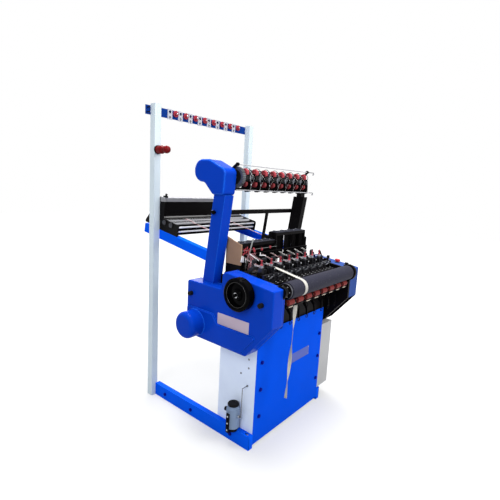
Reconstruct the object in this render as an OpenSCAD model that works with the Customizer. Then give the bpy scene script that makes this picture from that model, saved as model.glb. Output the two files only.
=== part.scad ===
// Eight-head needle loom for narrow tape, floor standing on two base channels.
// Millimetres, +Z up, front toward -Y. The origin is the middle of the footprint on the floor.

/* [Cabinet and base] */
// How much narrower the sheet cabinet is than the bed
stand_inset = 28; // [10:1:60]
// Depth of the sheet cabinet
cabinet_d = 300; // [260:1:340]
// Height of the cabinet top above the floor
cabinet_h = 720; // [690:1:760]
// Cabinet sheet thickness
sheet_t = 3; // [2:0.5:4]
// Height of the base channels
beam_h = 90; // [80:1:110]
// Flange width of the base channels
beam_w = 38; // [34:1:48]
// Wall of the base channels and the rails
channel_t = 5; // [4:0.5:7]
// Width of the electrical box
box_w = 156; // [130:1:165]

/* [Posts and creel] */
// Height of the rear posts
post_h = 2100; // [1900:5:2300]
// Side of the square posts
post_w = 50; // [40:1:60]
// Depth position of the post centres
post_y = 943; // [900:1:1000]
// Height of the creel bar
creel_h = 60; // [50:1:80]

/* [Head] */
// Length of the bed between the frame plates
bed_len = 800; // [700:1:920]
// Thickness of the frame plates
plate_t = 20; // [16:1:26]
// Depth of the left cover
cover_l = 85; // [80:1:100]
// Depth of the right cover
cover_r = 125; // [110:1:140]
// Wall of the covers
cover_wall = 6; // [4:0.5:8]
// Radius of the main shaft
shaft_r = 15; // [12:0.5:16]
// Radius of the handwheel
wheel_r = 95; // [75:1:102]
// Width of the handwheel
wheel_w = 62; // [50:1:70]

/* [Weaving] */
// Bed left free beyond the outer head spaces
end_margin = 20; // [16:1:40]
// Width of the woven tape
tape_w = 26; // [15:0.5:27]
// Thickness of the woven tape
tape_t = 1; // [0.6:0.1:1]
// Radius of the take-up roller
roller_r = 50; // [46:0.5:52]
// Radius of the press rollers
press_r = 18.5; // [16:0.5:19]

/* [Columns and feeder] */
// Forward lean of the columns and rise of the rails, degrees
lean = 7.5; // [6:0.1:9]
// Height of the column tops above the floor
column_top = 1530; // [1480:1:1580]
// Height of the feeder shaft above the column tops
feeder_up = 110; // [104:1:116]
// Radius of the feed wheels
feed_r = 56; // [48:1:58]
// Height of the rail channels
rail_h = 65; // [55:1:75]
// Length of the rails
rail_len = 700; // [640:1:740]
// Rise of the rails above the square of the columns, degrees
rail_rise = 2.1; // [0:0.1:4]

/* [Hidden] */
$fn = 48;
head_n = 8;
run = 0.05;
cabinet_w = bed_len - stand_inset;
head_pitch = (bed_len - 2 * end_margin) / head_n;
head_shift = 2.5;
head_x0 = end_margin + head_pitch / 2 + head_shift;
function hx(i) = head_x0 + i * head_pitch;
harness_mid = hx(3.5);

shelf_z = 985;
deck_z = 1040;
deck_front = -60;
deck_rear = 322;
cover_x0 = -plate_t - cover_l;
cover_x1 = bed_len + plate_t + cover_r;

fell_y = 45;
main_yz = [45, 998];
motor_yz = [420, 728];
take_yz = [-150, 1028];
nose_r = 56;
nip_gap = tape_t + 0.36;
nip_dir = -92;
press_yz = take_yz + (roller_r + press_r + nip_gap) * [cos(nip_dir), sin(nip_dir)];
pivot_yz = [-30, 905];
pivot_r = 8;
press_shaft_r = 6;
wheel_gap = 8;
wheel_x0 = cover_x0 - wheel_gap - wheel_w;
guard_t = 12;
boss_r = 84;
boss_len = 100;
boss_x0 = cover_x0 - guard_t - boss_len;

main_pulley_r = 56;
motor_pulley_r = 36;
motor_shaft_r = 12;
belt_t = 5;
belt_gap = 0.4;
belt_w = 22;
belt_x = cover_x0 + cover_wall + 38;

post_l = -48;
post_r = bed_len + 130;
post_wall = 3;
creel_z = post_h - 42;
creel_t = 6;
creel_y = post_y + post_w / 2;
creel_over = 38;

col_y = 332;
col_d = 90;
col_l = [-60, 15];
col_r = [bed_len, bed_len + 50];
col_len = (column_top - shelf_z) / cos(lean) + 150;
rail_w = 40;
rail_top = 172;
rail_l = post_l + post_w / 2;
rail_r = col_r[0] + 5;
rail_y0 = col_d;
swan_x = [-82, 22];
feeder_yz = [270, column_top + feeder_up];
feeder_x0 = hx(0) + 50;
feed_shaft_r = 10;

guide_r = 19;
guide_pin_r = 8;
guide_yz = [[500, 235], [572, 235]];
stop_t = 8;
stop_l = rail_l;
stop_r = rail_r + stop_t;

batten_yz = [fell_y + 104, 1066];
batten_r = 8;
latch_z = 1084;
latch_needle_z = 1122;
latch_pin_r = 5;
latch_lug = 9;
latch_pin_x = [latch_lug + 2, bed_len - latch_lug - 2];
spindle_r = 5;
head_foot = head_pitch / 2 + 0.5;
spindle_dx = 13.5 - head_pitch / 2;
spindle_y = fell_y - 8;
block_top = 1125;
heald_t = 24;
heald_y = [222, 262];
heald_h = 178;
heald_low = 1062;
heald_up = 48;
guide_t = 12;
slot_d = 4;
guide_top = 1262;

lamp_drop = 300;
lamp_z = post_h - lamp_drop;
box_x0 = cabinet_w;
box_z = [beam_h + 5, 600];
box_y = [5, 250];
door_t = 6;
pump_xy = [-48, 125];
pump_z0 = beam_h;
top_slope = atan2(45, 378);
button_x = (bed_len + plate_t + cover_x1) / 2;
button_y = [-20, -95];
button_stem_r = 8;

x_min = min(wheel_x0, boss_x0);
x_max = post_r + post_w / 2;
y_min = take_yz[0] - max(nose_r, roller_r + nip_gap / 2 + tape_t / 2);
y_max = col_y + rail_y0 * cos(lean) - (rail_top - rail_h) * sin(lean) + rail_len * cos(lean + rail_rise);
mid = [(x_min + x_max) / 2, (y_min + y_max) / 2, 0];

// Points of a circular arc.
function arc(c, r, a0, a1, n) = [for (i = [0:n]) let (a = a0 + (a1 - a0) * i / n) c + r * [cos(a), sin(a)]];

// One rounded corner of a polygon, n steps.
function corner(a, b, c, r, n) = r == 0 ? [b] : let (
    u = (a - b) / norm(a - b),
    v = (c - b) / norm(c - b),
    h = acos(u * v) / 2,
    m = b + (u + v) / norm(u + v) * r / sin(h),
    s = b + u * r / tan(h) - m,
    e = b + v * r / tan(h) - m,
    a1 = atan2(s[1], s[0]),
    d0 = atan2(e[1], e[0]) - a1,
    d = d0 > 180 ? d0 - 360 : d0 < -180 ? d0 + 360 : d0
) arc(m, r, a1, a1 + d, n);

function xy(p) = [p[0], p[1]];

// Polygon whose vertices are [x, y, radius].
function round_poly(p, n) = let (k = len(p)) [
    for (i = [0:k - 1]) each corner(xy(p[(i + k - 1) % k]), xy(p[i]), xy(p[(i + 1) % k]), p[i][2], n)
];

// Counter-clockwise polygon moved inward by d.
function inset(p, d) = let (n = len(p)) [
    for (i = [0:n - 1]) let (
        a = p[(i + n - 1) % n],
        b = p[i],
        c = p[(i + 1) % n],
        u = (b - a) / norm(b - a),
        v = (c - b) / norm(c - b),
        m = [-u[1], u[0]],
        k = [-v[1], v[0]]
    ) b + d * (m + k) / (1 + m * k)
];

// Outline of a belt round two circles.
function belt_line(c1, r1, c2, r2, n) = let (
    d = c2 - c1,
    f = atan2(d[1], d[0]),
    g = acos((r1 - r2) / norm(d))
) concat(arc(c1, r1, f + g, f + 360 - g, n), arc(c2, r2, f - g, f + g, n));

// Closed strip of thickness t along an open path.
function strip(p, t) = let (
    n = len(p),
    k = [for (i = [0:n - 1]) let (
        a = p[max(i - 1, 0)],
        b = p[min(i + 1, n - 1)],
        u = (b - a) / norm(b - a)
    ) [-u[1], u[0]]]
) concat([for (i = [0:n - 1]) p[i] + k[i] * t / 2], [for (i = [n - 1:-1:0]) p[i] - k[i] * t / 2]);

// Profile in Y and Z drawn along +X from x.
module along_x(x, l) {
    translate([x, 0, 0]) rotate([90, 0, 90]) linear_extrude(l) children();
}

module rod_x(x, l, yz, r) {
    translate([x, yz[0], yz[1]]) rotate([0, 90, 0]) cylinder(h = l, r = r);
}

module rod_front(x, y, z, l, r) {
    translate([x, y, z]) rotate([90, 0, 0]) cylinder(h = l, r = r);
}

module block(x, y, z) {
    translate([x[0], y[0], z[0]]) cube([x[1] - x[0], y[1] - y[0], z[1] - z[0]]);
}

// Slab on a counter-clockwise outline along +X with rounded rims at both ends; c sees all of the outline.
module soft_slab(p, c, x, l, r0, r1, n = 4) {
    k = len(p);
    rings = concat(
        r0 == 0 ? [[0, 0]] : [for (i = [0:n]) let (a = 90 * i / n) [r0 - r0 * cos(a), r0 - r0 * sin(a)]],
        r1 == 0 ? [[l, 0]] : [for (i = [0:n]) let (a = 90 * i / n) [l - r1 + r1 * sin(a), r1 - r1 * cos(a)]]
    );
    m = len(rings);
    pts = concat(
        [for (q = rings) let (o = inset(p, q[1])) each [for (v = o) [x + q[0], v[0], v[1]]]],
        [[x, c[0], c[1]], [x + l, c[0], c[1]]]
    );
    sides = [for (j = [0:m - 2]) each [for (i = [0:k - 1]) [
        j * k + i, (j + 1) * k + i, (j + 1) * k + (i + 1) % k, j * k + (i + 1) % k
    ]]];
    low = [for (i = [0:k - 1]) [m * k, i, (i + 1) % k]];
    high = [for (i = [0:k - 1]) [m * k + 1, (m - 1) * k + (i + 1) % k, (m - 1) * k + i]];
    polyhedron(pts, concat(low, sides, high));
}

// Frame of the leaning columns and rising rails.
module leaning() {
    translate([0, col_y, shelf_z]) rotate([lean, 0, 0]) children();
}

// Frame of the rails and what stands on them, turned about the foot of the rails.
module rising() {
    translate([0, rail_y0, rail_top - rail_h]) rotate([rail_rise, 0, 0])
        translate([0, -rail_y0, rail_h - rail_top]) children();
}

// Channel along +Y, web at x = 0, open toward +X.
module channel(l, h, w, t) {
    difference() {
        cube([w, l, h]);
        translate([t, -1, t]) cube([w, l + 2, h - 2 * t]);
    }
}

module tube_post(x) {
    difference() {
        block([x - post_w / 2, x + post_w / 2], [post_y - post_w / 2, post_y + post_w / 2], [0, post_h]);
        translate([x - post_w / 2 + post_wall, post_y - post_w / 2 + post_wall, -1])
            cube([post_w - 2 * post_wall, post_w - 2 * post_wall, post_h - post_wall + 1]);
    }
}

beam_y0 = -2;
beam_bolts = [150, 520, 800];
panel_top = cabinet_h + 20;
panel_bolts_xz = [for (x = [48, cabinet_w - 37], z = [195, 372, 548]) [x, z]];
bolt_r = 5;
head_r = 11;

slot_r = 7;
slot_y = [22, 40];

// Cut of the anchor slot through a beam's top flange.
module anchor_slot(x) {
    z = beam_h - 2 * channel_t;
    for (y = slot_y) translate([x, y, z]) cylinder(h = 3 * channel_t, r = slot_r);
    block([x - slot_r, x + slot_r], slot_y, [z, beam_h + 1]);
}

module base_beam_left() {
    color("RoyalBlue") difference() {
        translate([-beam_w, beam_y0, 0]) channel(post_y - post_w / 2 - beam_y0, beam_h, beam_w, channel_t);
        anchor_slot(-beam_w / 2);
        for (y = beam_bolts) rod_x(-beam_w - 1, channel_t + 2, [y, beam_h / 2], bolt_r + run);
    }
}

module base_beam_right() {
    x1 = cabinet_w + beam_w;
    color("RoyalBlue") difference() {
        union() {
            translate([x1, beam_y0, 0]) mirror([1, 0, 0])
                channel(post_y + post_w / 2 - beam_y0, beam_h, beam_w, channel_t);
            difference() {
                block([x1 - 1, post_r - post_w / 2], [post_y - 20, post_y + 20], [0, beam_h]);
                block([x1 - 2, post_r - post_w / 2 - 4], [post_y - 16, post_y + 16], [4, beam_h - 4]);
            }
        }
        anchor_slot(x1 - beam_w / 2);
        for (y = beam_bolts) rod_x(x1 - channel_t - 1, channel_t + 2, [y, beam_h / 2], bolt_r + run);
    }
}

module cabinet_body() {
    t = sheet_t;
    color("White") difference() {
        block([0, cabinet_w], [t, cabinet_d], [20, cabinet_h]);
        block([t, cabinet_w - t], [2 * t, cabinet_d - t], [20 + t, cabinet_h - 2 * t]);
        block([70, cabinet_w - 70], [0, 3 * t], [80, cabinet_h - 60]);
        for (p = panel_bolts_xz) rod_front(p[0], 3 * t, p[1], 3 * t, bolt_r + run);
        for (p = [[61, 561], [59, 505], [118, 453]]) rod_x(-1, t + 2, p, 3.5);
    }
}

module front_panel() {
    color("RoyalBlue") difference() {
        block([0, cabinet_w], [0, sheet_t], [20, panel_top]);
        for (p = panel_bolts_xz) rod_front(p[0], 2 * sheet_t, p[1], 3 * sheet_t, bolt_r + run);
    }
}

module panel_bolts() {
    color("MidnightBlue") {
        for (p = panel_bolts_xz) {
            rod_front(p[0], 0, p[1], 7, head_r);
            rod_front(p[0], 2 * sheet_t, p[1], 2 * sheet_t + 1, bolt_r);
        }
        for (y = beam_bolts) {
            rod_x(-beam_w - 7, 7, [y, beam_h / 2], head_r);
            rod_x(-beam_w - 1, channel_t + 1, [y, beam_h / 2], bolt_r);
            rod_x(cabinet_w + beam_w, 7, [y, beam_h / 2], head_r);
            rod_x(cabinet_w + beam_w - channel_t, channel_t + 1, [y, beam_h / 2], bolt_r);
        }
    }
}

module electrical_box() {
    x1 = box_x0 + box_w;
    color("Ivory") difference() {
        block([box_x0, x1], box_y, box_z);
        block([box_x0 + 3, x1 + 1], [box_y[0] + 3, box_y[1] - 3], [box_z[0] + 3, box_z[1] - 3]);
    }
    color("Gray") for (k = [0:2])
        block([box_x0 + 2, box_x0 + 62], [40 + 65 * k, 90 + 65 * k], [380, 460]);
    color("Silver") block([box_x0 + 2, box_x0 + 10], [30, 225], [410, 430]);
    color("DimGray") block([box_x0 + 2, box_x0 + 92], [50, 200], [150, 310]);
}

module electrical_door() {
    x1 = box_x0 + box_w;
    color("Ivory") {
        block([x1 + 0.5, x1 + door_t], box_y, box_z);
        rod_x(x1 + door_t - 1, 9, [box_y[0] + 22, 350], 9);
    }
}

pump_r = 42;
pump_body = [pump_z0 + 26, pump_z0 + 150];
handle_z = pump_z0 + 118;
handle_r = 5;
pipe_r = 2.5;
pipe_z = pump_z0 + 110;
pipe_y = pump_xy[1] - pump_r - 22;
pipe_top = 390;
boss_out = 4;

module oil_pump() {
    x = pump_xy[0];
    y = pump_xy[1];
    color("LightSteelBlue") difference() {
        union() {
            translate([x, y, pump_body[0]]) cylinder(h = pump_body[1] - pump_body[0], r = pump_r);
            translate([x, y, pump_body[1] - 0.5]) cylinder(h = 18, r1 = pump_r - 2, r2 = 30);
            translate([x, y, pump_body[1] + 17]) cylinder(h = 16, r = 28);
            translate([x, y, pump_z0]) cylinder(h = 27, r = 30);
            block([x - pump_r - 9, x - 20], [y - 11, y + 11], [pump_z0 + 4, pump_z0 + 128]);
            translate([x, y + 26, handle_z]) rotate([-90, 0, 0]) cylinder(h = 24, r = 11);
            translate([x, y - 30, pipe_z]) rotate([90, 0, 0]) cylinder(h = pump_r - 30 + boss_out, r = 9);
            block([x + 10, -0.2], [y - 14, y + 14], [pump_z0, pump_z0 + 14]);
        }
        translate([x, y + 22, handle_z]) rotate([-90, 0, 0]) cylinder(h = 40, r = handle_r + run);
        translate([x, y, pump_body[0] + 5]) cylinder(h = pump_body[1] - pump_body[0] - 30, r = 20);
    }
}

module oil_handle() {
    color("Black") translate([pump_xy[0], pump_xy[1] + 24, handle_z]) rotate([-90, 0, 0]) {
        cylinder(h = 40, r = handle_r);
        translate([0, 0, 26.3]) cylinder(h = 15, r = 13);
    }
}

module oil_pipe() {
    x = pump_xy[0];
    y0 = pump_xy[1] - pump_r - boss_out;
    color("DimGray") {
        rod_front(x, y0, pipe_z, y0 - pipe_y, pipe_r);
        rod_front(x, y0, pipe_z, 8, 7);
        translate([x, pipe_y, pipe_z]) sphere(r = pipe_r);
        translate([x, pipe_y, pipe_z]) cylinder(h = pipe_top - pipe_z, r = pipe_r);
        translate([x, pipe_y, pipe_top]) sphere(r = pipe_r);
        rod_x(x, -x, [pipe_y, pipe_top], pipe_r);
        rod_x(-5, 5, [pipe_y, pipe_top], 6);
    }
}

module left_post() {
    color("WhiteSmoke") tube_post(post_l);
}

module right_post() {
    color("WhiteSmoke") tube_post(post_r);
}

module creel_bar() {
    z = [creel_z - creel_h / 2, creel_z + creel_h / 2];
    color("RoyalBlue") block([post_l - post_w / 2 - creel_over, x_max], [creel_y, creel_y + creel_t], z);
}

module creel_tensioners() {
    for (i = [0:head_n - 1]) {
        x = hx(i) + 18;
        color("White") difference() {
            block([x - 20, x + 20], [creel_y - 4, creel_y], [creel_z - 36, creel_z + 34]);
            rod_front(x, creel_y + 1, creel_z + 16, 6, 6);
        }
        color("IndianRed") {
            rod_front(x + 46, creel_y, creel_z + 8, 24, 4);
            rod_front(x + 46, creel_y - 8, creel_z + 8, 3, 22);
            rod_front(x + 46, creel_y - 12, creel_z + 8, 3, 22);
            rod_front(x + 46, creel_y - 14.5, creel_z + 8, 10, 12);
        }
    }
    color("Black") for (dz = [-16, 14])
        rod_front(post_l - post_w / 2 - 26, creel_y, creel_z + dz, 26, 4);
}

module signal_lamp() {
    y = post_y - post_w / 2;
    color("Black") rod_front(post_l, y, lamp_z, 10, 30);
    color("FireBrick") translate([post_l, y - 9.5, lamp_z]) rotate([90, 0, 0]) rotate_extrude() polygon([
        [0, 0], [27, 0], [28, 8], [28, 40], [24, 48], [19, 56],
        [20, 66], [25, 78], [26, 90], [22, 103], [12, 111], [0, 113]
    ]);
}

side_profile = round_poly([
    [13, 628, 20], [514, 628, 92], [514, shelf_z, 15], [217, shelf_z, 6],
    [213, 1095, 30], [-165, 1050, 10], [-165, 840, 14]
], 6);

seat_r = 34;
cover_rim = 8;

// Frame plate with a round seat of radius r about the take-up shaft.
module side_plate(x, r) {
    difference() {
        union() {
            along_x(x, plate_t) polygon(side_profile);
            rod_x(x, plate_t, take_yz, r);
        }
        rod_x(x - 1, plate_t + 2, main_yz, shaft_r + run);
        rod_x(x - 1, plate_t + 2, take_yz, shaft_r + run);
        rod_x(x - 1, plate_t + 2, pivot_yz, pivot_r + run);
    }
}

module left_frame_plate() {
    color("RoyalBlue") difference() {
        side_plate(-plate_t, seat_r);
        rod_x(-plate_t - 1, plate_t + 2, motor_yz, 20);
    }
}

module right_frame_plate() {
    color("Black") side_plate(bed_len, nose_r);
}

guard_y = [40, 502];
guard_z = [640, 765, 820];
guard_step = [232, 274];
guard_front = -66;
guard_profile = round_poly([
    [guard_y[0], guard_z[0], 14], [guard_y[1], guard_z[0], 80], [guard_y[1], guard_z[2], 12],
    [guard_step[1], guard_z[2], 24], [guard_step[0], guard_z[1], 24], [guard_front, guard_z[1], 12]
], 5);
side_mid = [150, 850];
guard_mid = [300, 700];
boss_wall = 14;
boss_rim = 28;
boss_step = 3;
boss_profile = concat(
    [[0, 0]],
    [for (a = [0:15:90]) [boss_r - boss_rim + boss_rim * sin(a), boss_rim - boss_rim * cos(a)]],
    [[boss_r, boss_len - boss_step], [boss_r + boss_step, boss_len - boss_step / 2],
     [boss_r + boss_step, boss_len + guard_t + 2], [0, boss_len + guard_t + 2]]
);
cover_knob_yz = [[-90, 960], [470, 905]];

module left_cover() {
    x1 = -plate_t;
    color("RoyalBlue") difference() {
        union() {
            soft_slab(side_profile, side_mid, cover_x0, cover_l, cover_rim, 0);
            soft_slab(guard_profile, guard_mid, cover_x0 - guard_t, guard_t + 2, 7, 0);
            translate([boss_x0, motor_yz[0], motor_yz[1]]) rotate([0, 90, 0])
                rotate_extrude() polygon(boss_profile);
        }
        along_x(cover_x0 + cover_wall, cover_l) polygon(inset(side_profile, cover_wall));
        rod_x(cover_x0 - 30, 60, main_yz, shaft_r + 2);
        rod_x(boss_x0 + boss_wall, boss_len + guard_t + cover_wall + 1 - boss_wall, motor_yz,
            boss_r - boss_wall);
        for (p = cover_knob_yz) rod_x(cover_x0 - 1, cover_wall + 2, p, 6 + run);
    }
}

module right_cover() {
    color("RoyalBlue") difference() {
        union() {
            soft_slab(side_profile, side_mid, bed_len + plate_t, cover_r, 0, cover_rim);
            for (y = button_y) on_cover_top(y) translate([0, 0, -3]) cylinder(h = 7, r = 18);
        }
        along_x(bed_len + plate_t - 1, cover_r - cover_wall + 1) polygon(inset(side_profile, cover_wall));
        for (y = button_y) on_cover_top(y) translate([0, 0, -20]) cylinder(h = 40, r = button_stem_r + run);
    }
}

// Frame on the sloping top of the right cover.
module on_cover_top(y) {
    translate([button_x, y, 1050 + (y + 165) * tan(top_slope)]) rotate([top_slope, 0, 0]) children();
}

module cover_knobs() {
    color("Black") for (p = cover_knob_yz) {
        rod_x(cover_x0 - 24, 24, p, 14);
        rod_x(cover_x0 - 1, cover_wall + 5, p, 6);
    }
}

module stop_button() {
    color("Crimson") on_cover_top(button_y[0]) {
        translate([0, 0, -14]) cylinder(h = 26, r = button_stem_r);
        translate([0, 0, 11]) cylinder(h = 13, r = 19);
    }
}

module start_button() {
    color("Black") on_cover_top(button_y[1]) {
        translate([0, 0, -14]) cylinder(h = 26, r = button_stem_r);
        translate([0, 0, 11]) cylinder(h = 8, r = 14);
    }
}

bed_profile = [
    [10, cabinet_h], [cabinet_d - 10, cabinet_h], [cabinet_d - 10, shelf_z - 45], [470, shelf_z - 45],
    [470, shelf_z], [deck_rear, shelf_z], [deck_rear, deck_z], [deck_front, deck_z],
    [deck_front, 960], [10, 900]
];

batten_stays = [[20, 34], [harness_mid - 8, harness_mid + 8], [bed_len - 34, bed_len - 20]];

module bed() {
    color("DimGray") difference() {
        union() {
            along_x(0, bed_len) difference() {
                polygon(bed_profile);
                polygon(inset(bed_profile, 10));
            }
            for (s = batten_stays)
                block(s, [batten_yz[0] - 15, batten_yz[0] + 15], [deck_z - 1, batten_yz[1] + 16]);
            for (x = latch_pin_x) {
                block([x - latch_lug, x + latch_lug], [fell_y - 24, fell_y - 6], [deck_z - 1, latch_z + 18]);
                rod_front(x, fell_y - 23, latch_z, 37, latch_pin_r);
            }
        }
        rod_x(-1, bed_len + 2, batten_yz, batten_r + run);
    }
}

wheel_hub = 32;
wheel_web = [24, 36];
wheel_rim = 22;

module handwheel() {
    bore = shaft_r - 5 + run;
    color("Black") translate([wheel_x0, main_yz[0], main_yz[1]]) rotate([0, 90, 0]) rotate_extrude() polygon([
        [bore, 10], [wheel_hub - 4, 10], [wheel_hub, 14], [wheel_hub + 3, wheel_web[0] - 2],
        [wheel_r - wheel_rim - 6, wheel_web[0] + 2], [wheel_r - wheel_rim, 8], [wheel_r - wheel_rim + 6, 1],
        [wheel_r - wheel_rim / 2, 0], [wheel_r - 5, 3], [wheel_r, 10], [wheel_r, wheel_w - 10],
        [wheel_r - 5, wheel_w - 3], [wheel_r - wheel_rim / 2, wheel_w], [wheel_r - wheel_rim, wheel_w - 6],
        [wheel_r - wheel_rim - 4, wheel_web[1]], [wheel_hub + 2, wheel_web[1]],
        [wheel_hub + 2, wheel_w], [bore, wheel_w]
    ]);
}

module main_shaft() {
    color("Silver") {
        rod_x(wheel_x0 + 6, 200, main_yz, shaft_r - 5);
        rod_x(cover_x0 - wheel_gap + 1, bed_len + plate_t - 4 - cover_x0 + wheel_gap, main_yz, shaft_r);
        rod_x(belt_x - 19, 38, main_yz, main_pulley_r);
        rod_x(wheel_x0 + 3, 7, main_yz, 17);
    }
}

module drive_motor() {
    color("SlateGray") difference() {
        union() {
            rod_x(0, 12, motor_yz, 84);
            rod_x(11, 190, motor_yz, 62);
            for (k = [0:6]) rod_x(28 + 20 * k, 8, motor_yz, 70);
            rod_x(185, 40, motor_yz, 68);
            block([60, 140], [motor_yz[0] - 34, motor_yz[0] + 34], [motor_yz[1] + 50, motor_yz[1] + 96]);
        }
        rod_x(-1, 31, motor_yz, motor_shaft_r + run);
    }
}

module motor_pulley() {
    color("Silver") {
        rod_x(belt_x - 25, 28 - belt_x + 25, motor_yz, motor_shaft_r);
        rod_x(belt_x - 19, 38, motor_yz, motor_pulley_r);
    }
}

module drive_belt() {
    r1 = main_pulley_r + belt_gap;
    r2 = motor_pulley_r + belt_gap;
    color("Black") along_x(belt_x - belt_w / 2, belt_w) difference() {
        polygon(belt_line(main_yz, r1 + belt_t, motor_yz, r2 + belt_t, 24));
        polygon(belt_line(main_yz, r1, motor_yz, r2, 24));
    }
}

take_x = [34, bed_len - 14];

module take_up_roller() {
    color("DarkSlateGray") difference() {
        rod_x(take_x[0], take_x[1] - take_x[0], take_yz, roller_r);
        rod_x(take_x[0] - 1, take_x[1] - take_x[0] + 2, take_yz, shaft_r + run);
    }
}

module take_up_shaft() {
    color("Silver") {
        rod_x(-plate_t + 4, bed_len + 2 * plate_t - 8, take_yz, shaft_r);
        rod_x(take_x[0] - 12, 12, take_yz, 44);
        rod_x(take_x[1], 12, take_yz, 44);
    }
}

arm_x = [for (k = [0:head_n]) hx(k) - head_pitch / 2];

hook_profile = round_poly([
    [-44, 908, 6], [-86, 842, 8], [-92, 796, 5], [-80, 796, 5], [-74, 834, 8], [-20, 892, 6], [-18, 912, 6]
], 4);

module press_levers() {
    color("Black") difference() {
        union() {
            rod_x(-plate_t + 4, bed_len + 2 * plate_t - 8, pivot_yz, pivot_r);
            for (x = arm_x) along_x(x - 5, 10) polygon(strip_bar(pivot_yz, press_yz, 11));
            for (i = [0:head_n - 1]) along_x(hx(i) + 29, 6) polygon(hook_profile);
        }
        for (x = arm_x) rod_x(x - 6, 12, press_yz, press_shaft_r + run);
    }
}

// Flat bar with round ends between two points.
function strip_bar(a, b, r) = let (f = atan2(b[1] - a[1], b[0] - a[0]))
    concat(arc(a, r, f + 90, f + 270, 10), arc(b, r, f - 90, f + 90, 10));

module press_rollers() {
    color("Brown") {
        rod_x(arm_x[0] - 8, head_n * head_pitch + 16, press_yz, press_shaft_r);
        for (i = [0:head_n - 1]) rod_x(hx(i) - 27, 54, press_yz, press_r);
    }
}

module column(x) {
    difference() {
        leaning() difference() {
            block(x, [0, col_d], [-40, col_len]);
            block([x[0] + 5, x[1] - 5], [5, col_d - 5], [-50, col_len + 10]);
        }
        block([x[0] - 1, x[1] + 1], [0, 700], [shelf_z - 120, shelf_z]);
        block([x[0] - 1, x[1] + 1], [0, 700], [column_top, column_top + 260]);
    }
}

module left_column() {
    color("RoyalBlue") column(col_l);
}

module right_column() {
    color("Black") column(col_r);
}

swan_profile = round_poly([
    [256, column_top, 22], [352, column_top, 24], [425, column_top + 71, 44], [511, column_top + 71, 66],
    [511, column_top + 207, 66], [380, column_top + 207, 90], [245, column_top + 149, 40]
], 8);

swan_mid = [340, column_top + 110];

module swan_neck() {
    w = swan_x[1] - swan_x[0];
    color("RoyalBlue") difference() {
        soft_slab(swan_profile, swan_mid, swan_x[0], w, 16, 10);
        along_x(swan_x[0] + 5, w - 10) polygon(inset(swan_profile, 5));
        rod_x(swan_x[1] - 10, 20, feeder_yz, feed_shaft_r + run);
    }
}

tie_y = [col_d, col_d + 12];
tie_z = [412, 440];
upright_x = [harness_mid + 90, harness_mid + 112];
upright_foot = 40;

module tie_bar() {
    color("Black") difference() {
        leaning() {
            block([col_l[0], col_r[1]], tie_y, tie_z);
            block(upright_x, tie_y, [-upright_foot, tie_z[0] + 8]);
        }
        block([0, bed_len], [col_y, col_y + 2 * col_d], [shelf_z - 2 * upright_foot, shelf_z]);
    }
}

feed_beam_y = [280, 330];
feed_beam_z = [column_top + 30, column_top + 48];
rod_r = 3;
upper_rod = [254, column_top + 184];
lower_rod = [250, column_top + 34];
stay_t = 8;
end_stay = [col_r[0] + 5, 15];
arm_r = 8;
feed_plate = [
    [282, column_top + 32], [322, column_top + 32], [300, column_top + 124], [284, column_top + 132],
    [258, column_top + 132], [246, column_top + 104], [243, column_top + 28], [258, column_top + 26]
];

module feeder_beam() {
    color("Black") {
        block([swan_x[1], col_r[1]], feed_beam_y, feed_beam_z);
        block(col_r, [feed_beam_y[0] + 5, feed_beam_y[1] - 5], [column_top, feed_beam_z[0] + 1]);
        for (i = [0:head_n - 2]) feed_stay(feeder_x0 + head_pitch * i + 24, stay_t);
        feed_stay(end_stay[0], end_stay[1]);
        along_x(swan_x[1], stay_t) polygon(strip_bar([300, column_top + 150], upper_rod, arm_r));
        along_x(end_stay[0], stay_t) polygon(strip_bar([288, column_top + 122], upper_rod, arm_r));
    }
    color("Silver") {
        rod_x(swan_x[1] + 1, col_r[1] - swan_x[1] - 10, upper_rod, rod_r);
        rod_x(swan_x[1] + 2, col_r[1] - swan_x[1], lower_rod, rod_r);
    }
}

module feed_stay(x, t) {
    difference() {
        along_x(x, t) polygon(feed_plate);
        rod_x(x - 1, t + 2, feeder_yz, feed_shaft_r + run);
    }
}

big_wheel_x = swan_x[1] + stay_t + 2;
lobe_r = [24.5, 19.5];
lobe_eye = 7;
feed_hub_r = 22;

module feeder_shaft() {
    color("Silver") rod_x(swan_x[1] - 8, col_r[1] - 20 - swan_x[1], feeder_yz, feed_shaft_r);
    color("DimGray") along_x(big_wheel_x, 26) polygon([
        for (k = [0:39]) each [for (q = [[0, 58], [2.2, 58], [3.4, 62], [6.6, 62], [7.8, 58]])
            feeder_yz + q[1] * [cos(9 * k + q[0]), sin(9 * k + q[0])]]
    ]);
}

module feeder_wheels() {
    top = feeder_yz + [0, feed_r - lobe_r[0]];
    color("IndianRed") for (i = [0:head_n - 1]) {
        x = feeder_x0 + head_pitch * i;
        difference() {
            union() {
                rod_x(x - 8, 16, top, lobe_r[0]);
                rod_x(x - 8, 16, feeder_yz - [0, feed_r - lobe_r[1]], lobe_r[1]);
                rod_x(x - 12, 24, feeder_yz, feed_hub_r);
            }
            rod_x(x - 13, 26, feeder_yz, feed_shaft_r + run);
            rod_x(x - 9, 18, top + [0, 6], lobe_eye);
        }
    }
}

module head_blocks() {
    color("DarkGray") for (i = [0:head_n - 1]) {
        x = hx(i);
        difference() {
            union() {
                block([x - head_foot, x + 18], [fell_y - 24, fell_y + 16], [deck_z, deck_z + 12]);
                block([x + spindle_dx - 12, x + spindle_dx + 12], [spindle_y - 13, spindle_y + 13],
                    [deck_z, block_top]);
                block([x - 11, x + 11], [fell_y - 16, fell_y + 12], [deck_z, rest_top]);
            }
            translate([x + spindle_dx, spindle_y, deck_z + 10])
                cylinder(h = block_top - deck_z, r = spindle_r + run);
        }
    }
}

needle_rest = 150;
needle_len = 46;
needle_z = block_top + 11;
pin_h = 30;
pin_r = 4.5;

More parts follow.
